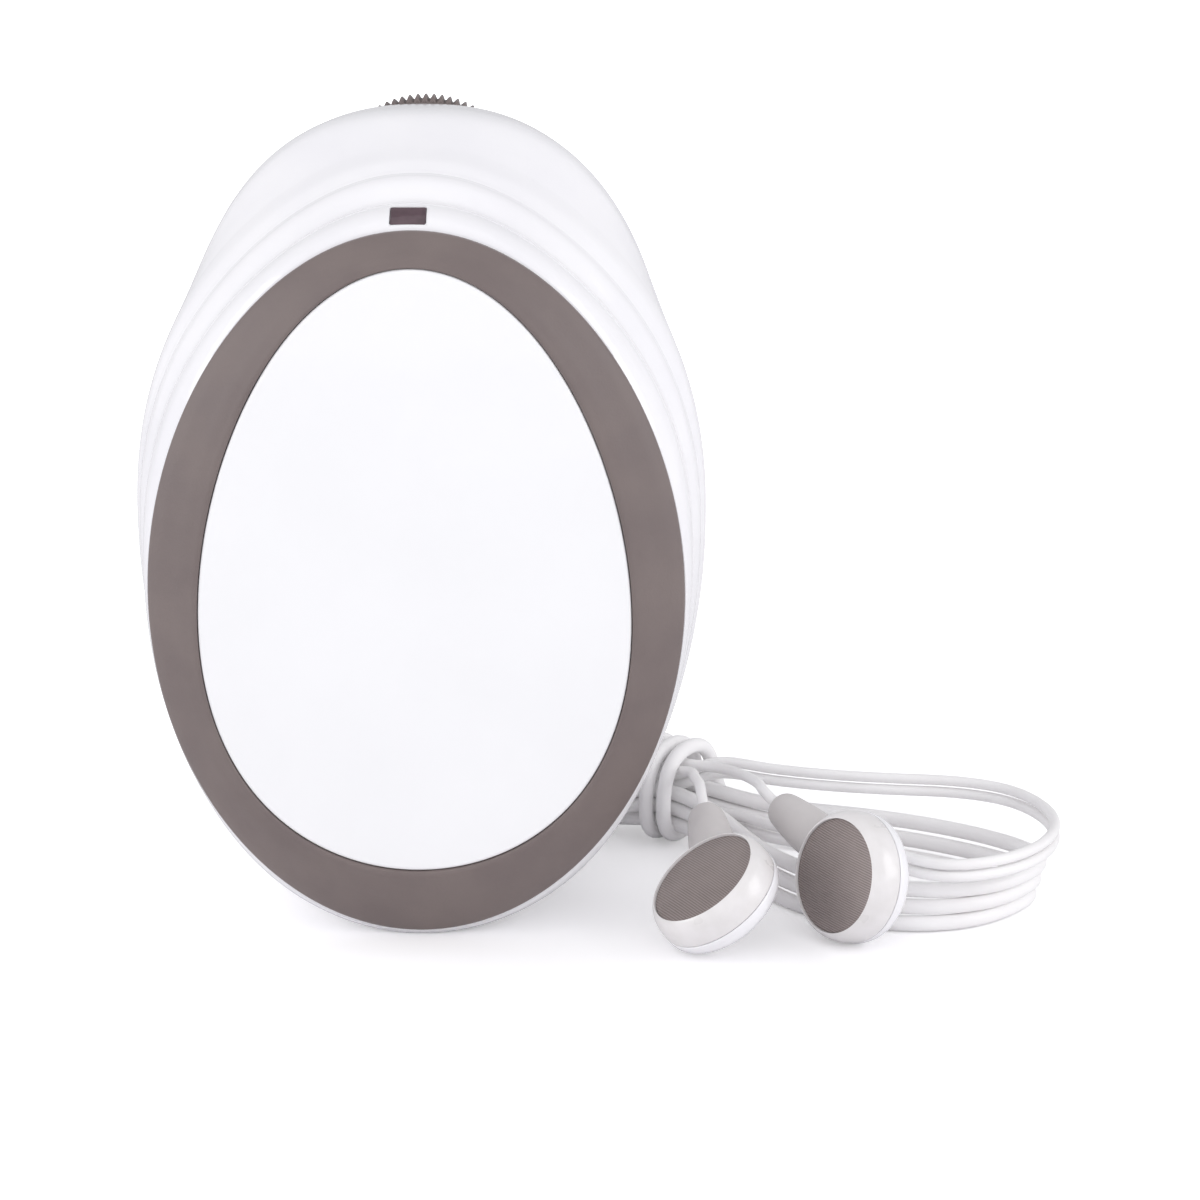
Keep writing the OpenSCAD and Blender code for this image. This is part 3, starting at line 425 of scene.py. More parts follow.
mesh_relief = add_node(mesh_taupe, "Bump", {"Strength": 1.0, "Distance": 0.00003},
                       [("Height", mesh_height.outputs["Value"])])
mesh_taupe.node_tree.links.new(mesh_shade.outputs["Color"], mesh_shader.inputs["Base Color"])
mesh_taupe.node_tree.links.new(mesh_relief.outputs["Normal"], mesh_shader.inputs["Normal"])

rim_outline = smooth_line([
    (7.1, -0.9), (7.1, -0.3), (7.13, -0.02), (7.25, -0.06), (7.5, -0.3), (7.8, -0.75), (8.05, -1.35), (8.2, -2.1),
    (8.25, -2.8), (8.25, -3.45), (8.18, -3.7)], 4) + [
    (7.15, -3.7), (7.15, -1.6), (6.45, -1.6), (6.45, -0.9)]
back_outline = smooth_line([
    (8.18, -3.8), (8.25, -3.95), (8.2, -4.5), (7.95, -5.2), (7.3, -5.95), (6.2, -6.65), (4.6, -7.3), (2.8, -7.75),
    (1.2, -7.95), (0, -8)], 4) + [
    (0, -6.9), (2, -6.8), (3.85, -6.4), (5.45, -5.8), (6.55, -4.9), (7.05, -3.8)]
boot_outline = smooth_line([
    (2.35, 8.4), (3.05, 8.4), (3.05, 9.2), (2.97, 11), (2.62, 13.6), (2.38, 15.0), (2.12, 15.8), (1.65, 16.4),
    (1.1, 16.6), (0.75, 16.6)], 4) + [(0.75, 13.1), (2.35, 13.1)]


def closed_turned(name, profile, finish, where, sides=128, sharp=40):
    """A turned ring, whose profile comes back to its start."""
    build = bmesh.new()
    angles = [2 * math.pi * i / sides for i in range(sides)]
    rows = [[build.verts.new((r / 1000 * math.cos(a), r / 1000 * math.sin(a), h / 1000)) for a in angles]
            for r, h in ((max(r, 0.002), h) for r, h in profile)]
    for low, high in zip(rows, rows[1:] + rows[:1]):
        for i in range(sides):
            build.faces.new((low[i], low[(i + 1) % sides], high[(i + 1) % sides], high[i]))
    bmesh.ops.recalc_face_normals(build, faces=build.faces)
    mesh = bpy.data.meshes.new(name)
    build.to_mesh(mesh)
    build.free()
    piece = finish_mesh(name, mesh, finish, sharp)
    piece.matrix_world = where
    return piece


for side, (middle, face, stem) in earbuds.items():
    here = stand(middle, face, stem)
    lean = (here @ Matrix.Translation((0, 0, -stem_root / 1000))
            @ Matrix.Rotation(math.radians(stem_lean - 90), 4, "X"))
    rim = closed_turned(side + "_earbud_rim", rim_outline, pearl_lacquer, here)
    shell_back = closed_turned(side + "_earbud_back", back_outline, white_abs, here)
    stem_tube = closed_turned("stem", [(1.2, 6.6), (2.3, 6.6), (2.3, 13.0), (1.2, 13.0)], white_abs, lean, 64)
    shell_back = join(side + "_earbud_back", [shell_back, stem_tube])
    weave_turn = math.radians(15.5 if side == "left" else 0)
    grille = turned(side + "_earbud_mesh", smooth_line(
        [(0, 0.1), (2.5, 0.06), (4.9, -0.1), (6.2, -0.24), (7.05, -0.38)], 5) + [(7.05, -0.8), (0, -0.8)],
        mesh_taupe, here @ Matrix.Rotation(weave_turn, 4, "Z"), 128)
    boot = closed_turned(side + "_earbud_boot", boot_outline, boot_silicone, lean, 64, 50)
    for piece, node, slot in ((rim, "front", "bud_pearl"), (shell_back, "rear", "bud_white"),
                              (grille, "grille", "grille_taupe"), (boot, "boot", "boot_rubber")):
        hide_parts("bud_%s_%s" % (side, node))
        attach(piece, "earphones")


# ---------- Case: front and rear shells ----------
# Two ABS shells, moulded in a polished tool, that part in a groove round the case. The front
# one is stepped in soft ridges over the head. The rear one holds the battery bay, the round
# seat of the transducer, the slot of the wheel and four deep screw wells.

ring_plane, face_middle = -16.75, 45.0
part_depth, case_depth, wall = 9.5, 37.0, 1.9
ring_half, ring_tall = 32.9, 44.1
panel_half, panel_tall = 26.1, 37.6
points_round = 240
ridge_ease = 1.25                    # mm of depth on each side that round a ridge
groove_side, groove_deep = 0.14, 0.05   # half width and depth of the line where the shells part
# depth, top, bottom, half width, power, egg
case_stations = (
    (0.1, 44.3, -44.5, 33.0, 1.98, 1), (0.8, 45.4, -45.0, 33.3, 2.00, 0.9), (2.5, 46.4, -45.4, 33.8, 2.05, 0.7),
    (4.6, 46.8, -45.4, 33.9, 2.10, 0.5), (5.5, 46.4, -45.4, 33.4, 2.12, 0.45), (6.3, 47.6, -45.4, 33.9, 2.12, 0.45),
    (7.8, 49.1, -45.4, 34.5, 2.12, 0.4), (9.0, 49.6, -45.4, 34.9, 2.12, 0.4), (9.5, 49.2, -45.4, 34.6, 2.12, 0.4),
    (10.1, 50.0, -45.4, 35.1, 2.13, 0.3), (11.2, 50.8, -45.4, 35.4, 2.15, 0.2), (12.8, 51.5, -45.4, 35.5, 2.17, 0.1),
    (14.2, 52.2, -45.4, 35.1, 2.20, 0), (17.0, 53.8, -45.4, 34.0, 2.28, 0), (20.0, 55.3, -45.4, 32.8, 2.40, 0),
    (23.0, 55.7, -45.4, 32.0, 2.50, 0), (26.0, 55.7, -45.4, 31.9, 2.42, 0), (29.0, 55.4, -45.4, 31.7, 2.36, 0),
    (31.5, 54.5, -45.1, 31.0, 2.34, 0), (34.0, 53.0, -44.2, 29.9, 2.32, 0), (35.8, 50.8, -42.8, 28.7, 2.30, 0),
    (36.7, 48.8, -41.4, 27.5, 2.25, 0), (37.0, 46.8, -40.0, 26.0, 2.25, 0))


def eased(depths, values, depth):
    """Smooth value between the stations, which never overshoots them."""
    steps = np.diff(values) / np.diff(depths)
    slopes = [steps[0]] + [0 if a * b <= 0 else 2 * a * b / (a + b) for a, b in zip(steps, steps[1:])] + [steps[-1]]
    i = max(0, min(len(steps) - 1, int(np.searchsorted(depths, depth, side="right")) - 1))
    h = depths[i + 1] - depths[i]
    t = (depth - depths[i]) / h
    return ((1 + 2 * t) * (1 - t) ** 2 * values[i] + t * (1 - t) ** 2 * h * slopes[i]
            + t * t * (3 - 2 * t) * values[i + 1] + t * t * (t - 1) * h * slopes[i + 1])


station_columns = np.array(case_stations).T


def case_station(depth):
    """The section at a depth. Its neighbours within ridge_ease are averaged in, as the tool's
    polish rounds every ridge, and fewer of them near the two ends."""
    reach = max(0.0, min(ridge_ease, (depth - 0.1) * 0.5, (case_depth - depth) * 0.3))
    steps = (-1, -0.6, -0.3, 0, 0.3, 0.6, 1)
    weights = (1, 2, 3, 3, 3, 2, 1)
    return [depth] + [sum(w * eased(station_columns[0], station_columns[k], depth + reach * f)
                          for f, w in zip(steps, weights)) / sum(weights) for k in range(1, 6)]


def case_ring(depth, inset=0.0, station=None, count=points_round):
    """One section of the case, drawn in by a margin on every side."""
    s = station or case_station(depth)
    high, mid = (s[1] - s[2]) / 2 - inset, (s[1] + s[2]) / 2
    ring = []
    for i in range(count):
        t = 2 * math.pi * (i + 0.5) / count - math.pi / 2
        sn, cs = math.sin(t), math.cos(t)
        lean = min(1, depth / 5, max(0, (20 - depth) / 6)) * (0.077 - 0.035 * sn - 0.186 * sn * sn) * sn
        egg = 1 + lean - 0.026 * s[5] * sn - 0.03 * s[5] * sn * sn
        x = (s[3] - inset) * rounded(cs, 2 / s[4]) * egg
        v = mid + high * rounded(sn, 2 / s[4])
        ring.append((x, ring_plane + depth, max(v + face_middle, inset)))
    return ring


def face_ring(half, tall, depth, count=points_round):
    """One section of the ring and the panel, whose egg is fuller below."""
    share = max(0, min(1, (ring_half - half) / (ring_half - panel_half)))
    ring = []
    for i in range(count):
        t = 2 * math.pi * (i + 0.5) / count - math.pi / 2
        sn, cs = math.sin(t), math.cos(t)
        x = half * cs * (1 - (0.026 + 0.13 * share) * sn + (-0.03 + 0.075 * share) * sn * sn)
        ring.append((x, ring_plane + depth, face_middle + 2.5 * share + tall * sn))
    return ring


def depths_between(low, high, step):
    count = max(1, int(round((high - low) / step)))
    return [low + (high - low) * i / count for i in range(count + 1)]


def block(x_from, x_to, d_from, d_to, z_from, z_to, edge=0.0):
    """A block by depth from the ring plane, in mm, with its edges rounded."""
    build = bmesh.new()
    bmesh.ops.create_cube(build, size=1)
    for v in build.verts:
        v.co = (((x_from + x_to) / 2 + v.co.x * (x_to - x_from)) / 1000,
                (ring_plane + (d_from + d_to) / 2 + v.co.y * (d_to - d_from)) / 1000,
                ((z_from + z_to) / 2 + v.co.z * (z_to - z_from)) / 1000)
    if edge:
        bmesh.ops.bevel(build, geom=build.edges[:], offset=edge / 1000, segments=3, affect="EDGES", profile=0.5)
    bmesh.ops.recalc_face_normals(build, faces=build.faces)
    mesh = bpy.data.meshes.new("block")
    build.to_mesh(mesh)
    build.free()
    return finish_mesh("block", mesh, None, 30)


def facing_back(x, z):
    """The place of a turned piece that looks out of the back, its height as depth."""
    return stand((x, ring_plane, z), (0, 1, 0), (0, 0, 1))


def rod(x, z, radius, d_from, d_to, sides=72):
    return turned("rod", [(radius, d_from), (radius, d_to)], None, facing_back(x, z), sides)


def carve(piece, tool, action="DIFFERENCE"):
    """Cuts the tool out of the piece, or keeps what they share, and discards the tool."""
    step = piece.modifiers.new("carve", "BOOLEAN")
    step.object, step.operation, step.solver = tool, action, "EXACT"
    bpy.context.view_layer.update()
    mesh = bpy.data.meshes.new_from_object(piece.evaluated_get(bpy.context.evaluated_depsgraph_get()))
    piece.modifiers.clear()
    piece.data = mesh
    bpy.data.objects.remove(tool)


def window_block(half_x, half_y, low, high, edge=0.0):
    """A block square to the slope of the first ridge, where the indicator sits."""
    tool = block(-half_x, half_x, -ring_plane - half_y, -ring_plane + half_y, low, high, edge)
    tool.data.transform(Matrix.Translation((-0.0005, (ring_plane + 1.65) / 1000, (face_middle + 45.75) / 1000))
                        @ Matrix.Rotation(math.radians(38), 4, "X"))
    return tool


front_case = lofted("front_case", [face_ring(panel_half - 0.4, panel_tall - 0.4, -2.3),
                                   face_ring(ring_half - 1.6, ring_tall - 1.6, 0.1)]
                    + [case_ring(d) for d in depths_between(0.1, part_depth - groove_side, 0.2)]
                    + [case_ring(part_depth, groove_deep), case_ring(part_depth, 0.9), case_ring(8.0, 0.9)]
                    + [case_ring(d, wall) for d in (8.0, 7.0, 6.0, 5.0, 4.0, 3.0, 2.5)]
                    + [face_ring(ring_half - 3.4, ring_tall - 3.4, 1.9),
                       face_ring(panel_half - 2, panel_tall - 2, -0.6)],
                    white_abs, 40)
carve(front_case, window_block(2.25, 1.65, -3, 3, 0.3))
screw_spots = ((-20.5, 17.5), (20.5, 17.5), (-19, 77), (19, 77))
front_posts = [closed_turned("post", [(2.8, 1), (2.8, 13.1), (1.05, 13.1), (1.05, 1)], white_abs,
                             facing_back(x, z), 48) for x, z in screw_spots]
front_case = join("front_case", [front_case] + front_posts)
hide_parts("front_shell")
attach(front_case, "housing")

bay_low, bay_high, bay_half = 49.4, 49.4 + 22.2, 25.2
pad_radius, pad_middle = 17.0, 28.5
socket_depth, socket_height = 20.4, 40
wheel_middle, wheel_depth, wheel_wide = 88.7, 31.0, 3.4


def rear_tools():
    """Everything that is open in the rear shell."""
    tools = [block(-bay_half, bay_half, 23.6, 34.0, bay_low, bay_high, 0.4),
             block(-22.4, 22.4, 30, 40, bay_low, bay_high),
             block(-22.5, 40, 35.1, 40, bay_low - 1.6, bay_high + 1.6),
             block(-22.5, 40, 35.1, 36.15, bay_low - 2.6, bay_high + 2.6),
             rod(0, pad_middle, pad_radius + 0.1, 26.5, 40, 144), rod(0, pad_middle, pad_radius - 2, 24, 30, 96),
             block(-11.6, 11.6, wheel_depth - 2.4, wheel_depth + 2.4, 92, 110, 0.5)]
    for x, z in screw_spots:
        tools += [rod(x, z, 2.4, 15.2, 40), rod(x, z, 1.35, 12, 20)]
    socket_place = stand((-38, ring_plane + socket_depth, socket_height), (1, 0, 0), (0, 0, 1))
    hole = turned("hole", [(3.05, -12), (3.05, 14)], None, socket_place, 72)
    return tools + [hole]


rear_skin = lofted("rear_case", [case_ring(34.5, wall)]
                   + [case_ring(d, wall) for d in reversed(depths_between(12, 34, 1.1))]
                   + [case_ring(8.2, wall), case_ring(8.2, 1.0), case_ring(part_depth, 1.0),
                      case_ring(part_depth, groove_deep)]
                   + [case_ring(d) for d in depths_between(part_depth + groove_side, 17, 0.25)
                      + depths_between(17, 34, 0.6)[1:] + depths_between(34, case_depth, 0.2)[1:]], white_abs, 40)
rear_solids = [rear_skin, block(-bay_half - 1.2, bay_half + 1.2, 22.2, 35.4, bay_low - 1.2, bay_high + 1.2),
               rod(0, pad_middle, pad_radius + 1.6, 25, 35.4, 96)]
rear_solids += [rod(x, z, 3.4, 13.3, 35.4) for x, z in screw_spots]
for solid in rear_solids:
    for tool in rear_tools():
        carve(solid, tool)
    solid.data.materials.clear()
    solid.data.materials.append(white_abs)
rear_case = join("rear_case", rear_solids)
rear_case.data.shade_smooth()
rear_case.data.set_sharp_from_angle(angle=math.radians(40))
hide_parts("rear_shell")
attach(rear_case, "housing")


# ---------- Ring round the face ----------
# A soft-touch ring of grey-brown PC/ABS that slopes in from the case to the panel, clipped
# into the front shell from outside. Its outer edge is rounded over the shell.

# Soft-touch lacquer: satin, warm grey-brown, with a fine even grain that breaks the highlight.
soft_touch = moulded("soft_touch_lacquer", "#7b6f6c", "#746866", 8, 0.35, 0.02, 0.46, 0.56,
                     {"IOR": 1.5, "Sheen Weight": 0.12, "Sheen Roughness": 0.5})

ring_profile = smooth_line([(0, 0, 0), (0, 0, -0.4), (0.12, 0.12, -0.75), (0.5, 0.5, -1.1), (1.3, 1.3, -1.68),
                            (2.2, 2.2, -2.2), (3.3, 3.2, -2.8), (4.4, 4.2, -3.4), (5.4, 5.2, -3.86),
                            (6.1, 5.85, -4.16), (6.45, 6.2, -4.2), (6.6, 6.33, -4.15)], 4)
face_trim = lofted("face_trim", [face_ring(ring_half - p[0], ring_tall - p[1], p[2]) for p in ring_profile]
                   + [face_ring(panel_half + 0.1, panel_tall + 0.1, -4.0),
                      face_ring(panel_half + 0.1, panel_tall + 0.1, -2.4),
                      face_ring(panel_half - 0.4, panel_tall - 0.4, -2.4),
                      face_ring(ring_half - 1.6, ring_tall - 1.6, 0.02)], soft_touch, 40, False)
trim_build = bmesh.new()
trim_build.from_mesh(face_trim.data)
trim_build.verts.ensure_lookup_table()
first, last = trim_build.verts[:points_round], trim_build.verts[-points_round:]
for i in range(points_round):
    j = (i + 1) % points_round
    trim_build.faces.new((first[i], first[j], last[j], last[i]))
bmesh.ops.recalc_face_normals(trim_build, faces=trim_build.faces)
trim_build.to_mesh(face_trim.data)
trim_build.free()
face_trim.data.shade_smooth()
face_trim.data.set_sharp_from_angle(angle=math.radians(40))
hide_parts("trim_ring")
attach(face_trim, "housing")


# ---------- Panel ----------
# A plain domed panel of white PMMA-capped ABS, pressed into the ring from the front. Its
# edge is rounded into a thin shadow line against the ring.

# PMMA cap: the whitest and glossiest surface, with hardly any ripple.
panel_gloss = moulded("capped_white_panel", "#fdfdfe", "#fbfbfc", 20, 2.5, 0.003, 0.1, 0.15,
                      {"IOR": 1.49, "Coat Weight": 0.4, "Coat Roughness": 0.04})
dome = [math.sin(math.pi / 2 * k / 34) for k in range(34, 0, -1)] + [0.015]
face_panel = lofted("face_panel", [face_ring((panel_half - 2) * 0.5, (panel_tall - 2) * 0.5, -3.4),
                                   face_ring(panel_half - 1.8, panel_tall - 1.8, -2.4),
                                   face_ring(panel_half, panel_tall, -2.4), face_ring(panel_half, panel_tall, -3.85),
                                   face_ring(panel_half - 0.06, panel_tall - 0.06, -4.02),
                                   face_ring(panel_half - 0.2, panel_tall - 0.2, -4.14)]
                    + [face_ring((panel_half - 0.4) * f, (panel_tall - 0.4) * f, -4.2 - 2.3 * (1 - f * f))
                       for f in dome],
                    panel_gloss, 40)
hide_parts("front_panel")
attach(face_panel, "housing")


# ---------- Indicator window ----------
# A small smoked polycarbonate lens, sunk a little in the first ridge, with its light pipe
# behind it. Moulded in a polished tool, so it mirrors the light above.

# Smoked polycarbonate: dark red-brown, clear enough for the lamp behind it.
smoked_pc = moulded("smoked_polycarbonate", "#59404a", "#4b343d", 2, 0.8, 0.004, 0.06, 0.12,
                    {"IOR": 1.585, "Coat Weight": 0.6, "Coat Roughness": 0.03})
lens = window_block(2.2, 1.6, -2.6, -0.35, 0.22)
lens.name = lens.data.name = "indicator_lens"
lens.data.materials.append(smoked_pc)
pipe = block(-3.2, 0.8, 2.7, 9.2, 86.4, 88.6, 0.2)
pipe.data.materials.append(smoked_pc)
riser = block(-2.7, 0.8, 3.0, 4.4, 86.4, 89.3, 0.2)
riser.data.materials.append(smoked_pc)
lens = join("indicator_lens", [lens, pipe, riser])
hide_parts("indicator_window")
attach(lens, "housing")


# ---------- Volume wheel ----------
# A thumb wheel in the same soft-touch plastic as the ring, whose rounded teeth stand out of
# the slot in the head. It is pressed on a steel shaft and held by a cross-head screw.

tooth_count, tooth_high, wheel_radius = 76, 0.65, 12.6


def tooth_ring(inset, depth):
    ring = []
    for i in range(tooth_count * 8):
        a = 2 * math.pi * i / (tooth_count * 8)
        wave = 0.5 + 0.5 * math.cos(2 * math.pi * i / 8)
        r = wheel_radius - inset - tooth_high * (1 - wave ** 0.8)
        ring.append((r * math.sin(a), ring_plane + depth, wheel_middle + r * math.cos(a)))
    return ring


low_side, high_side = wheel_depth - wheel_wide / 2, wheel_depth + wheel_wide / 2
wheel = lofted("thumb_wheel", [tooth_ring(1.4, low_side), tooth_ring(0.55, low_side),
                               tooth_ring(0.16, low_side + 0.12),
                               tooth_ring(0, low_side + 0.4), tooth_ring(0, high_side - 0.4),
                               tooth_ring(0.16, high_side - 0.12), tooth_ring(0.55, high_side),
                               tooth_ring(1.4, high_side)],
               soft_touch, 50)
hub = turned("hub", [(4, wheel_depth - 4.5), (4, wheel_depth + 2)], soft_touch, facing_back(0, wheel_middle), 64)
# Ground steel shaft: bright, with the faint rings of its grinding.
shaft_steel = moulded("ground_steel", "#c4c4c8", "#b6b6ba", 1.5, 0.15, 0.002, 0.22, 0.32, {"Metallic": 1.0})
shaft = turned("shaft", [(1.8, 19.4), (2.0, 19.6), (2.0, wheel_depth + 1.2)], shaft_steel,
               facing_back(0, wheel_middle), 48)
wheel = join("thumb_wheel", [wheel, hub, shaft])
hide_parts("volume_wheel")
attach(wheel, "wheel")


# ---------- Battery door ----------
# The door is the curve of the case's back, cut out of it, on two rails. Five low ribs give
# the thumb a grip. Moulded ABS in the case's white.

door = lofted("battery_door", [case_ring(d) for d in depths_between(35.2, case_depth, 0.15)], None, 40)
carve(door, block(-22.35, 45, 34, 40, bay_low - 1.5, bay_high + 1.5), "INTERSECT")
door.data.materials.clear()
door.data.materials.append(white_abs)
door_parts = [door, block(-22.35, 19, 35.2, 36.05, bay_low - 2.4, bay_high + 2.4, 0.15)]
door_parts += [block(10 + 2 * i, 10.9 + 2 * i, 36.6, 37.45, bay_low + 5, bay_high - 5, 0.3) for i in range(5)]
for part in door_parts[1:]:
    part.data.materials.append(white_abs)
door = join("battery_door", door_parts)
door.data.shade_smooth()
door.data.set_sharp_from_angle(angle=math.radians(40))
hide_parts("battery_cover")
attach(door, "door")


# ---------- Transducer ----------
# A shallow ABS cup that stands out of the back, closed by a satin pad that lies on the skin.
# Behind the pad are two half-round ceramic crystals on a damped backing.

cup = closed_turned("transducer_cup_skin", smooth_line(
    [(16.75, 29.2), (17.0, 29.45), (17.0, 33), (17.0, 38), (17.0, 38.9), (16.85, 39.1)], 3)
    + [(15.4, 39.1), (15.4, 30.8), (2, 30.8), (2, 29.2)], white_abs, facing_back(0, pad_middle), 160, 50)
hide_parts("transducer_cup")
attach(cup, "housing")
# TPU contact pad: satin grey, slightly warm, with a fine sand-blasted grain.
pad_tpu = moulded("satin_tpu_pad", "#aaa3a2", "#a19a99", 6, 0.3, 0.012, 0.42, 0.5, {"IOR": 1.5})
pad = turned("transducer_pad_skin", smooth_line(
    [(0, 40.0), (8, 39.99), (14, 39.97), (16.2, 39.9), (16.75, 39.7), (17.0, 39.3), (17.0, 39.1)], 4) + [(0, 39.1)],
    pad_tpu, facing_back(0, pad_middle), 160)
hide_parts("transducer_face")
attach(pad, "housing")


# ---------- Screws, socket and what is inside ----------
# These keep their CAD form. Steel screws, a black socket, a green board with its parts, the
# cells and their nickel contacts: each gets the material that it is made of.

# Zinc-plated steel, tumbled: soft grey shine.
zinc_steel = moulded("zinc_plated_steel", "#a9a9ad", "#98989c", 1.2, 0.15, 0.004, 0.28, 0.4, {"Metallic": 1.0})
# Nickel plate on spring steel: warmer and brighter than the zinc.
nickel_plate = moulded("nickel_plate", "#d0cdc6", "#c2bfb8", 2, 0.2, 0.002, 0.18, 0.3, {"Metallic": 1.0})
# Glass-filled nylon, black, with a dry mottled skin.
black_nylon = moulded("black_glass_nylon", "#262628", "#1c1c1e", 3, 0.25, 0.012, 0.42, 0.55, {"IOR": 1.53})
# FR4 board under green solder mask, whose weave shows as a 0.5 mm ripple.
solder_mask = moulded("green_solder_mask", "#24603f", "#1c5235", 4, 0.5, 0.01, 0.28, 0.4,
                      {"IOR": 1.54, "Coat Weight": 0.3})
# Epoxy chip bodies: black-grey with blasted tops.
chip_epoxy = moulded("chip_epoxy", "#2b2b2d", "#212123", 1.5, 0.12, 0.008, 0.5, 0.62, {"IOR": 1.55})
# Lead zirconate ceramic, silvered: pale tan and granular.
fired_ceramic = moulded("fired_ceramic", "#c9b98f", "#bba97d", 2, 0.15, 0.012, 0.5, 0.65, {"IOR": 1.9})
# Nitrile rubber: dark, matte.
nitrile = moulded("nitrile_rubber", "#3a3839", "#302e2f", 3, 0.25, 0.015, 0.6, 0.75, {"IOR": 1.5})
# PVC sleeve of a cell: shrunk tight, glossy, plain slate.
cell_sleeve = moulded("shrunk_cell_sleeve", "#525a6a", "#474f5f", 7, 0.9, 0.01, 0.2, 0.3,
                      {"IOR": 1.53, "Coat Weight": 0.2})
# Lacquered brass: the plate of each earbud's driver.
brass_plate = moulded("lacquered_brass", "#b89c5e", "#a68a50", 2, 0.2, 0.004, 0.25, 0.38, {"Metallic": 1.0})
# Clear epoxy of the lamp, faintly green.
lamp_epoxy = moulded("lamp_epoxy", "#a9d8b0", "#98c9a0", 1.5, 0.3, 0.004, 0.08, 0.14, {"IOR": 1.55})
# Electrolytic sleeves: dark blue vinyl.
vinyl_sleeve = moulded("blue_vinyl_sleeve", "#2c3152", "#242947", 3, 0.3, 0.006, 0.25, 0.35, {"IOR": 1.53})

inside = (
    (zinc_steel, "case_screws", "wheel_screw"), (nickel_plate, "contact_springs", "contact_plates", "quartz_crystal"),
    (black_nylon, "earphone_socket", "pot_body"), (solder_mask, "main_board"),
    (chip_epoxy, "control_chip", "amplifier_chip"), (fired_ceramic, "transmit_crystal", "receive_crystal"),
    (nitrile, "seal_ring", "backing_block", "transducer_lead"), (cell_sleeve, "battery_upper", "battery_lower"),
    (brass_plate, "bud_left_driver", "bud_right_driver"), (lamp_epoxy, "indicator_led"), (vinyl_sleeve, "capacitors"))
for finish, *names in inside:
    for name in names:
        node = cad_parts[name]
        node.data.materials.clear()
        node.data.materials.append(finish)
        node.data.shade_smooth()
        node.data.set_sharp_from_angle(angle=math.radians(32))


# ---------- Table and background ----------
# The sweep is plain white paper, lit until only the soft shadow under the case
# and the earphones is left. The paper glows white to the camera only, and more weakly near the middle, which paints
# shade round the case and the earphones on top of their real shadow.

paper = bpy.data.materials.new("white_paper")
paper.use_nodes = True
paper_shader = paper.node_tree.nodes["Principled BSDF"]
paper_shader.inputs["Base Color"].default_value = linear("#f2f1f3")
paper_shader.inputs["Roughness"].default_value = 0.6
paper_path = add_node(paper, "LightPath", {})
paper_spot = add_node(paper, "TexCoord", {})
# The camera-only lift grows from 30 mm to 110 mm away from the middle of what stands on the paper, so the paper is
# painted darker round the case and the earphones: painted shade.
paper_reach = add_node(paper, "VectorMath", {"operation": "DISTANCE", 1: (0.03, -0.005, 0)},
                       [(0, paper_spot.outputs["Object"])])
painted_shade_fade = add_node(paper, "MapRange", {"From Min": 0.03, "From Max": 0.11, "To Min": 0.3, "To Max": 1.0,
                                          "interpolation_type": "SMOOTHSTEP"},
                      [("Value", paper_reach.outputs["Value"])])
paper_lift = add_node(paper, "Emission", {"Color": (1, 1, 1, 1)}, [("Strength", painted_shade_fade.outputs["Result"])])
paper_none = add_node(paper, "Emission", {"Color": (0, 0, 0, 1), "Strength": 0.0})
paper_pick = add_node(paper, "MixShader", {}, [(0, paper_path.outputs["Is Camera Ray"]), (1, paper_none.outputs[0]),
                                               (2, paper_lift.outputs[0])])
paper_sum = add_node(paper, "AddShader", {}, [(0, paper_shader.outputs[0]), (1, paper_pick.outputs[0])])
paper.node_tree.links.new(paper_sum.outputs[0], paper.node_tree.nodes["Material Output"].inputs["Surface"])
table_build = bmesh.new()
bmesh.ops.create_grid(table_build, x_segments=1, y_segments=1, size=4)
table_mesh = bpy.data.meshes.new("table")
table_build.to_mesh(table_mesh)
table_build.free()
table = bpy.data.objects.new("table", table_mesh)
bpy.context.scene.collection.objects.link(table)
table.location.z = -0.00005          # just under the feet, so that no faces share a plane
table_mesh.materials.append(paper)

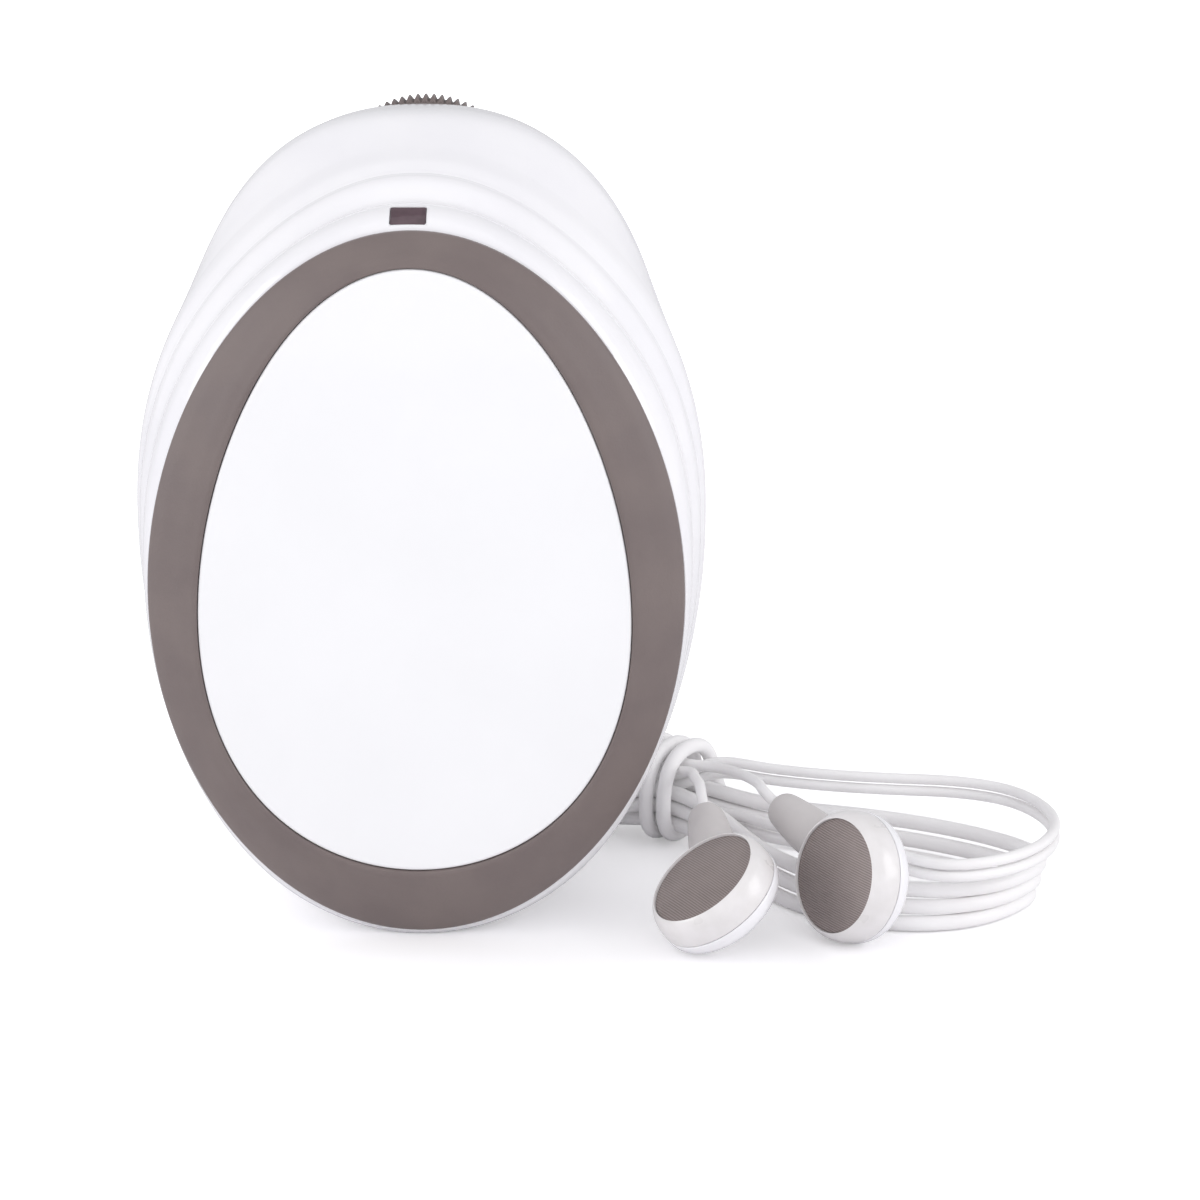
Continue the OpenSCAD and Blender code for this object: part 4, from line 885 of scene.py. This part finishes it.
world = bpy.data.worlds.new("studio")
bpy.context.scene.world = world
world.use_nodes = True
world.node_tree.nodes.clear()
sky_path = add_node(world, "LightPath", {})
sky_seen = add_node(world, "Math", {"operation": "ADD", "use_clamp": True},
                    [(0, sky_path.outputs["Is Camera Ray"]), (1, sky_path.outputs["Is Transmission Ray"])])
sky_way = add_node(world, "TexCoord", {})
# The room is brightest low in front and falls off up and behind, which shades the dome.
sky_front = add_node(world, "VectorMath", {"operation": "DOT_PRODUCT", 1: (0, -0.55, -0.75)},
                     [(0, sky_way.outputs["Generated"])])
sky_level = add_node(world, "MapRange", {"From Min": -0.7, "From Max": 0.2, "To Min": 0.6, "To Max": 1.15},
                     [("Value", sky_front.outputs["Value"])])
sky_light = add_node(world, "Background", {"Color": linear("#f3f3f6")}, [("Strength", sky_level.outputs["Result"])])
sky_white = add_node(world, "Background", {"Color": (1, 1, 1, 1), "Strength": 1.0})
sky_pick = add_node(world, "MixShader", {}, [(0, sky_seen.outputs[0]), (1, sky_light.outputs[0]),
                                             (2, sky_white.outputs[0])])
add_node(world, "OutputWorld", {}, [("Surface", sky_pick.outputs[0])])


# ---------- Lamps ----------
# Three softboxes: a broad weak one above the front and a stronger one level with each side. The
# case reads by the soft fall of their light and not by hard highlights.


def softbox(name, spot, aim, wide, tall, power):
    lamp = bpy.data.lights.new(name, "AREA")
    lamp.shape, lamp.size, lamp.size_y, lamp.energy = "RECTANGLE", wide, tall, power
    holder = bpy.data.objects.new(name, lamp)
    bpy.context.scene.collection.objects.link(holder)
    holder.location = spot
    holder.rotation_euler = (Vector(aim) - Vector(spot)).to_track_quat("-Z", "Y").to_euler()


softbox("softbox_top", (0.05, -0.25, 0.95), (0.02, 0, 0.04), 0.9, 0.7, 0.6)
softbox("softbox_left", (-0.95, -0.3, 0.4), (0, 0, 0.05), 0.5, 0.7, 2.6)
softbox("softbox_right", (0.95, -0.32, 0.42), (0, 0, 0.05), 0.5, 0.7, 2.7)

bpy.context.scene.view_settings.view_transform = "Standard"
